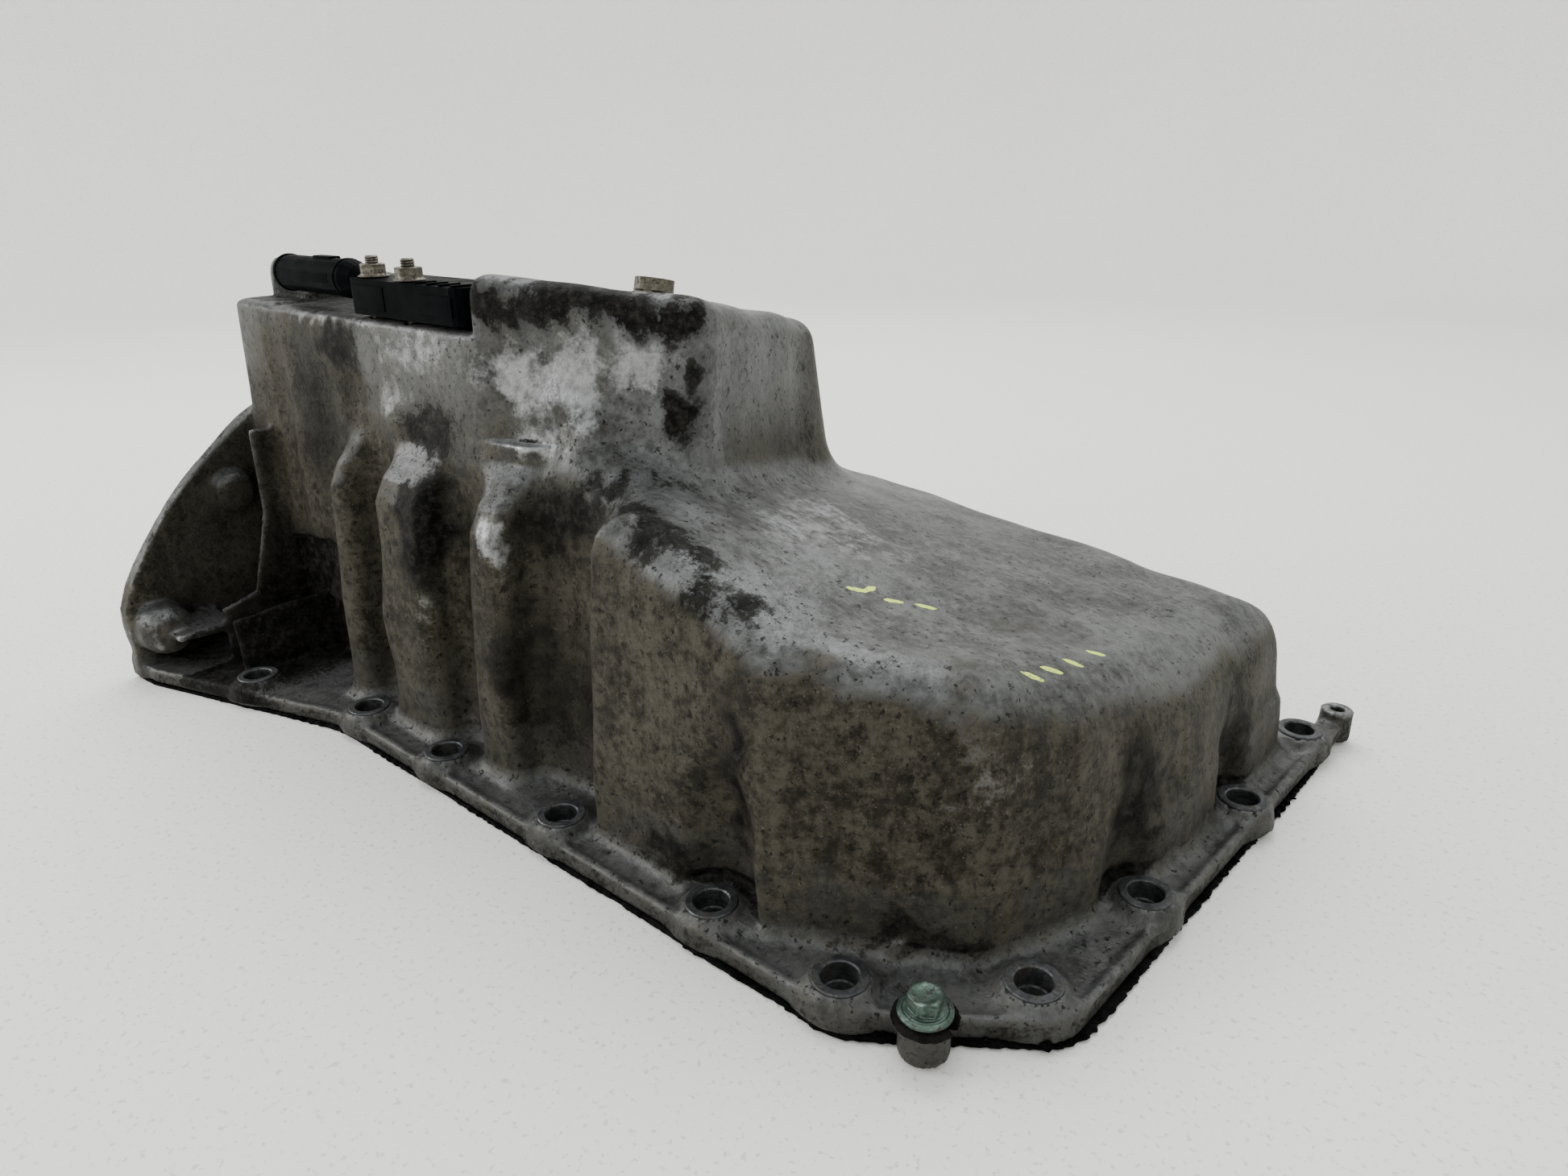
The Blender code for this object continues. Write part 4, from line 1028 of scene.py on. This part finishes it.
def add_turned(mesh, loop, centre, axis=(0, 0, 1), segments=48, wobble=0.0, closed=True):
    """Adds a surface of revolution: loop is (radius, height) pairs along axis from centre."""
    turn = Vector((0, 0, 1)).rotation_difference(Vector(axis)).to_matrix()
    rings = []
    for radius, height in loop:
        ring = []
        for k in range(segments):
            angle = math.tau * k / segments
            out = Vector((math.cos(angle), math.sin(angle), 0.0))
            swell = wobble * noise.noise(out * 1.7 + Vector((radius, height, centre[0])) * 0.31)
            ring.append(mesh.verts.new(frame_point(Vector(centre) + turn @ (out * (radius + swell) + Vector((0, 0, height))))))
        rings.append(ring)
    pairs = list(zip(rings, rings[1:]))
    if closed:
        pairs.append((rings[-1], rings[0]))
    for low, high in pairs:
        for i in range(segments):
            j = (i + 1) % segments
            mesh.faces.new((low[i], low[j], high[j], high[i]))
    if not closed:
        mesh.faces.new(rings[0])
        mesh.faces.new(rings[-1])


def hex_radius(angle, across):
    """Distance from the middle of a hexagon to its side in a direction."""
    return across / 2 / math.cos((angle + math.pi / 6) % (math.pi / 3) - math.pi / 6)


def add_screw(mesh, across, head, flange_r, flange, shank_r, length, pitch, seat, axis, hollow=0.0, turn_deg=0.0):
    """Adds a hexagonal head on a flange with a threaded shank below it, or a nut if it has a bore."""
    turn = Vector((0, 0, 1)).rotation_difference(Vector(axis)).to_matrix()
    turn = turn @ Matrix.Rotation(math.radians(turn_deg), 3, "Z")
    count = 96
    corner = across / math.sqrt(3)
    levels = []
    if length:
        rows = max(4, int(round(length / pitch * 8)))
        for k in range(rows + 1):
            levels.append(("thread", shank_r, -length + length * k / rows))
    for radius, height in ((flange_r - 0.5, 0.0), (flange_r, 0.25), (flange_r, 0.45 * flange), (flange_r - 0.7, 0.75 * flange)):
        levels.append(("round", radius, height))
    for share, height in ((1.06, flange * 1.05), (1.0, flange * 1.3), (1.0, head - 0.75), (1.0, head - 0.5)):
        levels.append(("hex", share, height))
    for radius, height in ((corner - 0.35, head - 0.25), (corner - 0.9, head - 0.05), (0.4 * across, head), (0.36 * across, head - 0.15)):
        levels.append(("chamfer", radius, height))
    if not hollow:
        levels.append(("round", 0.15 * across, head - 0.25))
    rings = []
    for kind, size, height in levels:
        ring = []
        for k in range(count):
            angle = math.tau * k / count
            radius = size
            if kind == "thread":
                phase = (height / pitch - k / count) % 1.0
                taper = min(1.0, (height + length) / 1.2)
                radius = size - 0.55 * pitch * abs(2 * phase - 1) * 0.9 - 0.35 * (1.0 - taper)
            elif kind == "hex":
                radius = min(size * hex_radius(angle, across), corner - 0.25)
            elif kind == "chamfer":
                radius = min(size, hex_radius(angle, across))
            out = Vector((math.cos(angle) * radius, math.sin(angle) * radius, height))
            ring.append(mesh.verts.new(frame_point(Vector(seat) + turn @ out)))
        rings.append(ring)
    if hollow:
        for height in (head - 0.5, 0.0):
            ring = []
            for k in range(count):
                angle = math.tau * k / count
                radius = hollow + (0.0 if height else 0.2)
                out = Vector((math.cos(angle) * radius, math.sin(angle) * radius, height))
                ring.append(mesh.verts.new(frame_point(Vector(seat) + turn @ out)))
            rings.append(ring)
        rings.append(rings[0])
    for low, high in zip(rings, rings[1:]):
        for i in range(count):
            j = (i + 1) % count
            mesh.faces.new((low[i], low[j], high[j], high[i]))
    if not hollow:
        mesh.faces.new(rings[0])
        mesh.faces.new(rings[-1])


def boss_rings(material):
    """The turned faces of the flange's bolt bosses, with the ledge inside each hole."""
    mesh = bmesh.new()
    loop = [(9.2, 11.8), (9.2, 13.1), (8.8, 13.5), (6.5, 13.5), (6.0, 13.0)]
    loop += [(5.9, 6.4), (5.3, 6.0), (5.2, 1.7), (9.2, 1.7)]
    for x, y in HOLES:
        add_turned(mesh, loop, (x, y, 0.0))
    new_piece("boss_rings", mesh, material, "pan", 30.0)


def edge_path(spacing):
    """Places along the flange's outline with the direction that points out of it."""
    outline = [Vector(p) for p in rounded(FLANGE_OUTLINE)]
    path = []
    for here, there in zip(outline, outline[1:] + outline[:1]):
        span = there - here
        count = max(1, int(span.length / spacing))
        out = Vector((span.y, -span.x)).normalized() if span.length > 1e-6 else Vector((1, 0))
        for k in range(count):
            path.append((here + span * k / count, out))
    return path


def sealant_bead(material):
    """Sealant squeezed out under the flange: a ragged bead, thicker along some stretches."""
    mesh = bmesh.new()
    rings = []
    for point, out in edge_path(1.1):
        place = Vector((point.x, point.y, 0.0))
        slow = noise.noise(place * 0.021 + Vector((3.1, 0, 0)))
        quick = noise.noise(place * 0.35) + 0.6 * noise.noise(place * 0.9)
        reach = max(0.15, 0.9 + 1.6 * slow + 1.1 * quick + 0.9 * (point.x > 120))
        if abs(out.x) > 0.3:
            reach = min(reach, BEAD_REACH_X - abs(point.x + SHIFT_X))
        reach = max(min(reach, 3.2, BEAD_REACH_Y - abs(point.y)), 0.05)
        high = 1.5 + 1.3 * max(0.0, min(1.0, 0.5 + quick + slow))
        section = [(-1.6, 0.05), (0.55 * reach, 0.05), (reach, 0.4 * high), (0.8 * reach, 0.85 * high)]
        section += [(0.1, high), (-1.6, 0.8 * high)]
        spots = [(point.x + out.x * r, point.y + out.y * r, z) for r, z in section]
        rings.append([mesh.verts.new(frame_point(spot)) for spot in spots])
    for low, high in zip(rings, rings[1:] + rings[:1]):
        for i in range(len(low)):
            j = (i + 1) % len(low)
            mesh.faces.new((low[i], high[i], high[j], low[j]))
    new_piece("sealant_bead", mesh, material, "pan", 70.0)


def lump(mesh, centre, size, seed):
    """Adds an uneven crumb, lying on z = 0 or on the casting."""
    made = bmesh.ops.create_icosphere(mesh, subdivisions=2, radius=1.0)
    for vert in made["verts"]:
        swell = 1.0 + 0.45 * noise.noise(vert.co * 1.3 + Vector((seed, 0, 0)))
        local = Vector((vert.co.x * size[0], vert.co.y * size[1], vert.co.z * size[2])) * swell
        vert.co = frame_point(Vector(centre) + local)


def sealant_crumbs(material):
    mesh = bmesh.new()
    path = edge_path(1.0)
    for k in range(46):
        point, out = path[random.randrange(len(path))]
        if k < 30:
            point, out = random.choice([p for p in path if p[0].x > 150 and p[1].x > 0.2])
        if point.x < -235 or abs(point.y) > 160:
            continue
        size = (random.uniform(0.7, 1.9), random.uniform(0.5, 1.3), random.uniform(0.4, 0.9))
        reach = random.uniform(-0.4, 1.2)
        height = random.uniform(0.9, 3.2)
        lump(mesh, (point.x + out.x * reach, point.y + out.y * reach, height), size, 3.7 * k)
    corner = max(path, key=lambda p: p[0].x - p[0].y)
    point, out = corner
    lump(mesh, (point.x + out.x * 0.8, point.y + out.y * 0.8, 2.2), (2.4, 2.2, 2.0), 99.0)
    new_piece("sealant_crumbs", mesh, material, "pan", 80.0)


def cracked_collar(material):
    """What is left of the rubber ring round the lug's bolt, split and crumbling."""
    mesh = bmesh.new()
    low, high = LEFT_TUBE_TOP + GAP, LEFT_TUBE_TOP + GAP + COLLAR_THICK
    x, y = LEFT_TUBE
    count, section = 90, 14
    rings = []
    for k in range(count):
        angle = math.radians(12 + 342 * k / (count - 1))
        out = Vector((math.cos(angle), math.sin(angle), 0))
        ring = []
        for i in range(section):
            around = math.tau * i / section
            ragged = 0.5 * noise.noise(out * 4.1 + Vector((0, 0, i * 0.4))) + 0.35 * noise.noise(out * 11.0)
            radius = 6.9 + (3.1 + ragged) * math.cos(around)
            height = (low + high) / 2 + (1.45 - 0.25 * abs(ragged)) * math.sin(around)
            ring.append(mesh.verts.new(frame_point((x + out.x * radius, y + out.y * radius, height))))
        rings.append(ring)
    for a, b in zip(rings, rings[1:]):
        for i in range(section):
            j = (i + 1) % section
            mesh.faces.new((a[i], a[j], b[j], b[i]))
    mesh.faces.new(rings[0])
    mesh.faces.new(rings[-1])
    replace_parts(new_piece("cracked_collar", mesh, material, "pan", 60.0), "rubber_collar")


def leaf(material):
    """A dry flake of old gasket lying beside the lug."""
    mesh = bmesh.new()
    corners = [(197.0, -116.5), (200.5, -113.0), (204.0, -108.5), (201.8, -114.6), (201.5, -117.6)]
    low = [mesh.verts.new(frame_point((x, y, 10.6 + 0.2 * i))) for i, (x, y) in enumerate(corners)]
    high = [mesh.verts.new(v.co + Vector((0, 0, 0.0007))) for v in low]
    mesh.faces.new(low)
    mesh.faces.new(high)
    for i in range(len(low)):
        j = (i + 1) % len(low)
        mesh.faces.new((low[i], low[j], high[j], high[i]))
    bmesh.ops.subdivide_edges(mesh, edges=mesh.edges[:], cuts=2, use_grid_fill=True)
    for vert in mesh.verts:
        vert.co.z += 0.0004 * noise.noise(vert.co * 400)
    new_piece("gasket_flake", mesh, material, "pan", 40.0)


def paint_dabs(material, skin):
    """Plain dabs of marker paint on the shallow end, laid on the casting by dropping rays on it."""
    mesh = bmesh.new()
    strokes = [
        [(125, -57), (129, -52), (129, -45)],
        [(136, -50), (141, -44)],
        [(143, -41), (149, -35)],
        [(193, -56), (199, -50)],
        [(194, -45), (200, -39)],
        [(195, -31), (201, -26)],
        [(195, -14), (201, -9)],
    ]
    for stroke in strokes:
        path = []
        for (x0, y0), (x1, y1) in zip(stroke, stroke[1:]):
            path += [Vector((x0 + (x1 - x0) * k / 12, y0 + (y1 - y0) * k / 12)) for k in range(12)]
        rows = []
        for i, here in enumerate(path):
            ahead = (path[min(i + 1, len(path) - 1)] - path[max(i - 1, 0)]).normalized()
            side = Vector((-ahead.y, ahead.x))
            end = min(1.0, (i + 0.6) / 3, (len(path) - i - 0.4) / 3)
            half = (1.5 + 0.6 * noise.noise(Vector((here.x, here.y, 0)) * 0.5)) * end
            row = []
            for share, lift in ((-1, -0.1), (-0.5, 0.16), (0.5, 0.16), (1, -0.1)):
                spot = here + side * half * share
                _, place, _, _ = skin.ray_cast(frame_point((spot.x, spot.y, 150.0)), (0, 0, -1))
                row.append(mesh.verts.new(place + Vector((0, 0, lift * MM))))
            rows.append(row)
        for low, high in zip(rows, rows[1:]):
            for i in range(3):
                mesh.faces.new((low[i], low[i + 1], high[i + 1], high[i]))
    new_piece("marker_dabs", mesh, material, "pan", 60.0)


def screws(steel, zinc):
    """Bolts, nuts and the drain plug, with chamfered hexagons and cut threads."""
    mesh = bmesh.new()
    seat = Vector((*DRAIN, deep_height(DRAIN[1]))) + DRAIN_AXIS * 2.1
    add_screw(mesh, 17.0, 8.0, 9.8, 2.2, 6.0, 14.0, 1.5, seat, DRAIN_AXIS)
    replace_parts(new_piece("drain_plug_cut", mesh, steel, "drain_screw"), "drain_plug")
    mesh = bmesh.new()
    seat = Vector((*LEFT_TUBE, LEFT_TUBE_TOP + 5.1))
    add_screw(mesh, 10.0, 5.2, 5.9, 0.8, 3.0, 15.0, 1.0, seat, (0, 0, 1), turn_deg=11.0)
    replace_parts(new_piece("bracket_bolt_cut", mesh, zinc, "pan"), "bracket_bolt")
    mesh = bmesh.new()
    low = LEFT_TUBE_TOP + 2 * GAP + COLLAR_THICK
    loop = [(3.4, low + 0.2), (7.9, low), (8.3, low + 0.3), (8.3, low + 0.9), (7.9, low + 1.3), (7.0, low + 1.5)]
    loop += [(6.6, low + 1.25), (6.2, low + 1.5), (3.6, low + 1.5), (3.4, low + 1.3)]
    add_turned(mesh, loop, (*LEFT_TUBE, 0.0), segments=64)
    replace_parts(new_piece("bracket_washer_cut", mesh, zinc, "pan"), "bracket_bolt_washer")
    for i, (x, y) in enumerate(STUDS):
        mesh = bmesh.new()
        seat = Vector((x, y, SENSOR_TOP + GAP))
        add_screw(mesh, 10.0, 5.4, 6.5, 1.1, 3.0, 0.0, 1.0, seat, (0, 0, 1), 3.3, 17.0 * i + 8.0)
        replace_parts(new_piece(f"sensor_nut_cut_{i + 1}", mesh, steel, "pan"), f"sensor_nut_{i + 1}")
    for i, (x, y) in enumerate(BAFFLE_LUGS):
        mesh = bmesh.new()
        seat = Vector((x, y, BAFFLE_TOP - 2 * GAP - 1.6))
        add_screw(mesh, 8.0, 4.4, 5.6, 1.2, 3.0, 14.0, 1.0, seat, (0, 0, -1), turn_deg=23.0 * i)
        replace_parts(new_piece(f"baffle_bolt_cut_{i + 1}", mesh, steel, "pan"), f"baffle_bolt_{i + 1}")


def threaded_studs(steel):
    for i, (x, y) in enumerate(STUDS):
        mesh = bmesh.new()
        rows, count = 216, 32
        rings = []
        for k in range(rows + 1):
            height = -STUD_SUNK + (STUD_HIGH + STUD_SUNK) * k / rows
            ring = []
            for j in range(count):
                phase = (height - j / count) % 1.0
                end = min(1.0, (height + STUD_SUNK) / 0.8, (STUD_HIGH - height) / 0.8)
                radius = 2.97 - 0.5 * abs(2 * phase - 1) - 0.4 * (1 - end)
                angle = math.tau * j / count
                place = (x + radius * math.cos(angle), y + radius * math.sin(angle), NOTCH_FLOOR + height)
                ring.append(mesh.verts.new(frame_point(place)))
            rings.append(ring)
        for low, high in zip(rings, rings[1:]):
            for j in range(count):
                mesh.faces.new((low[j], low[(j + 1) % count], high[(j + 1) % count], high[j]))
        mesh.faces.new(rings[0])
        mesh.faces.new(rings[-1])
        made = new_piece(f"stud_cut_{i + 1}", mesh, steel, "pan")
        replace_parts(made, f"sensor_stud_{i + 1}")


def add_block(mesh, low, high, bevel):
    """Adds a box with rounded edges."""
    made = bmesh.ops.create_cube(mesh, size=1.0)
    middle = [(a + b) / 2 for a, b in zip(low, high)]
    for vert in made["verts"]:
        vert.co = frame_point([m + c * (b - a) for m, c, a, b in zip(middle, vert.co, low, high)])
    edges = list({edge for vert in made["verts"] for edge in vert.link_edges})
    bmesh.ops.bevel(mesh, geom=edges, offset=bevel * MM, segments=3, affect="EDGES", profile=0.6)


def sensor_trim(material):
    """Moulded detail of the level sensor: barrel rings, a latch, lid ribs and the lead's keyways."""
    mesh = bmesh.new()
    x, y, z = BARREL
    for along, radius, wide in ((1.4, 8.6, 2.2), (57.0, 8.6, 1.6)):
        loop = [(7.4, along - wide / 2), (radius - 0.3, along - wide / 2), (radius, along - wide / 2 + 0.3)]
        loop += [(radius, along + wide / 2 - 0.3), (radius - 0.3, along + wide / 2), (7.4, along + wide / 2)]
        add_turned(mesh, loop, BARREL, (1, 0, 0))
    add_block(mesh, (x + 30.0, y - 2.6, z + 7.0), (x + 46.0, y + 2.6, z + 8.9), 0.6)
    for side in (-1, 1):
        add_block(mesh, (x + 3.0, y + side * 7.4 - 0.8, z - 2.0), (x + 52.0, y + side * 7.4 + 0.8, z + 2.0), 0.4)
    for k in range(4):
        low = -62.0 + 8.5 * k
        add_block(mesh, (low, -97.6, SENSOR_TOP - 0.6), (low + 1.6, -88.0, SENSOR_TOP + 0.9), 0.4)
    add_block(mesh, (-57.0, -98.35, 190.0), (-36.0, -97.6, 198.0), 0.3)
    add_block(mesh, (-108.5, -98.35, 189.0), (-86.0, -97.6, 199.0), 0.3)
    new_piece("sensor_trim", mesh, material, "pan", 35.0)


def drain_washer_cut(material):
    """The soft washer, dished a little where the plug's flange has pressed it."""
    mesh = bmesh.new()
    loop = [(6.35, 0.45), (6.6, 0.3), (9.7, 0.3), (10.0, 0.55), (10.0, 1.5)]
    loop += [(9.75, 1.78), (9.3, 1.72), (6.7, 1.7), (6.35, 1.5)]
    add_turned(mesh, loop, (*DRAIN, deep_height(DRAIN[1])), DRAIN_AXIS, 72)
    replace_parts(new_piece("drain_washer_cut", mesh, material, "drain_seal"), "drain_washer")


def finish_cad_nodes(finishes):
    """Gives every CAD node that stays in sight its procedural finish."""
    for node, material in finishes.items():
        for slot in bpy.data.objects[node].material_slots:
            slot.material = material


# ---------------------------------------------------------------- scene


def camera():
    data = bpy.data.cameras.new("camera")
    data.lens = 23.86
    data.sensor_width = 36.0
    made = bpy.data.objects.new("camera", data)
    bpy.context.scene.collection.objects.link(made)
    heading, pitch, roll = math.radians(41.0), math.radians(-21.4), math.radians(-0.5)
    turn = Matrix.Rotation(heading, 3, "Z") @ Matrix.Rotation(math.pi / 2 + pitch, 3, "X")
    turn = turn @ Matrix.Rotation(roll, 3, "Z")
    made.matrix_world = Matrix.Translation((0.3312, -0.3252, 0.2385)) @ turn.to_4x4()
    bpy.context.scene.camera = made


def area_light(name, place, target, size, energy):
    data = bpy.data.lights.new(name, "AREA")
    data.shape = "DISK"
    data.size = size
    data.energy = energy
    made = bpy.data.objects.new(name, data)
    made.location = place
    made.rotation_euler = (Vector(target) - Vector(place)).to_track_quat("-Z", "Y").to_euler()
    made.visible_camera = False
    bpy.context.scene.collection.objects.link(made)


def studio():
    """A pale table and backdrop, one sheet of revolution that curves up far behind the part."""
    world = bpy.data.worlds.new("studio")
    bpy.context.scene.world = world
    world.use_nodes = True
    world.node_tree.nodes["Background"].inputs["Color"].default_value = (0.93, 0.97, 0.97, 1)
    world.node_tree.nodes["Background"].inputs["Strength"].default_value = WORLD_STRENGTH
    area_light("window", (-1.5, -1.3, 0.9), (0, 0, 0.1), 1.1, WINDOW_WATTS)
    area_light("ceiling", (-0.6, 0.7, 1.7), (0, 0, 0.1), 1.6, CEILING_WATTS)
    mesh = bmesh.new()
    profile = [(0.6, 0.0), (1.3, 0.0), (TABLE_R, 0.0)]
    for degrees in range(10, 91, 10):
        angle = math.radians(degrees)
        rise = TABLE_CURVE_R * (1 - math.cos(angle))
        profile.append((TABLE_R + TABLE_CURVE_R * math.sin(angle), rise))
    profile.append((TABLE_R + TABLE_CURVE_R, BACKDROP_HIGH))
    rings = []
    for radius, height in profile:
        angles = [math.tau * k / 96 for k in range(96)]
        rings.append([mesh.verts.new((radius * math.cos(a), radius * math.sin(a), height)) for a in angles])
    mesh.faces.new(rings[0])
    for low, high in zip(rings, rings[1:]):
        for i in range(96):
            j = (i + 1) % 96
            mesh.faces.new((low[i], high[i], high[j], low[j]))
    data = bpy.data.meshes.new("table")
    mesh.to_mesh(data)
    mesh.free()
    data.shade_smooth()
    data.materials.append(floor_finish())
    table = bpy.data.objects.new("table", data)
    bpy.context.scene.collection.objects.link(table)


def main():
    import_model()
    skin = build_casting()
    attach(skin, "pan")
    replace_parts(skin, "pan_casting")
    steel = metal_finish("dull_plated_steel", (0.05, 0.045, 0.034), (0.18, 0.165, 0.13), 0.4, 0.4)
    zinc = metal_finish("green_passivate", (0.035, 0.054, 0.044), (0.135, 0.19, 0.158), 0.38, 0.4)
    turned_ring = metal_finish("turned_aluminium", (0.035, 0.036, 0.038), (0.11, 0.113, 0.118), 0.45, 0.42)
    plastic = polymer_finish("moulded_plastic", (0.0008, 0.001, 0.0012), (0.002, 0.0024, 0.003), 0.36, 0.5, 0.00008, -0.3, 0.008)
    rubber = polymer_finish("perished_rubber", (0.002, 0.002, 0.002), (0.01, 0.009, 0.008), 0.6, 0.85, 0.0003, 0.1)
    sealant = polymer_finish("black_sealant_skin", (0.001, 0.001, 0.001), (0.005, 0.005, 0.005), 0.5, 0.8, 0.0003, 0.05)
    dry_gasket = polymer_finish("dry_gasket", (0.05, 0.03, 0.012), (0.16, 0.1, 0.045), 0.6, 0.8, 0.0002)
    copper = metal_finish("tarnished_copper", (0.3, 0.13, 0.06), (0.58, 0.3, 0.16), 0.34, 0.28)
    brass = metal_finish("brass", (0.5, 0.36, 0.14), (0.72, 0.56, 0.28), 0.25, 0.15)
    sheet = metal_finish("oily_sheet_steel", (0.2, 0.17, 0.11), (0.42, 0.4, 0.35), 0.34, 0.3, 0.5)
    boss_rings(turned_ring)
    sealant_bead(sealant)
    sealant_crumbs(sealant)
    cracked_collar(rubber)
    leaf(dry_gasket)
    paint_dabs(paint_finish(), skin)
    screws(steel, zinc)
    threaded_studs(steel)
    sensor_trim(plastic)
    drain_washer_cut(copper)
    cad_finishes = {"pan_gasket": sealant, "sensor_housing": plastic, "sensor_oring": rubber}
    cad_finishes["oil_baffle"] = sheet
    cad_finishes.update({f"sensor_pin_{k}": brass for k in (1, 2, 3)})
    cad_finishes.update({"sensor_probe_tube": steel, "bell_dowel_left": steel, "bell_dowel_right": steel})
    finish_cad_nodes(cad_finishes)
    studio()
    camera()


main()
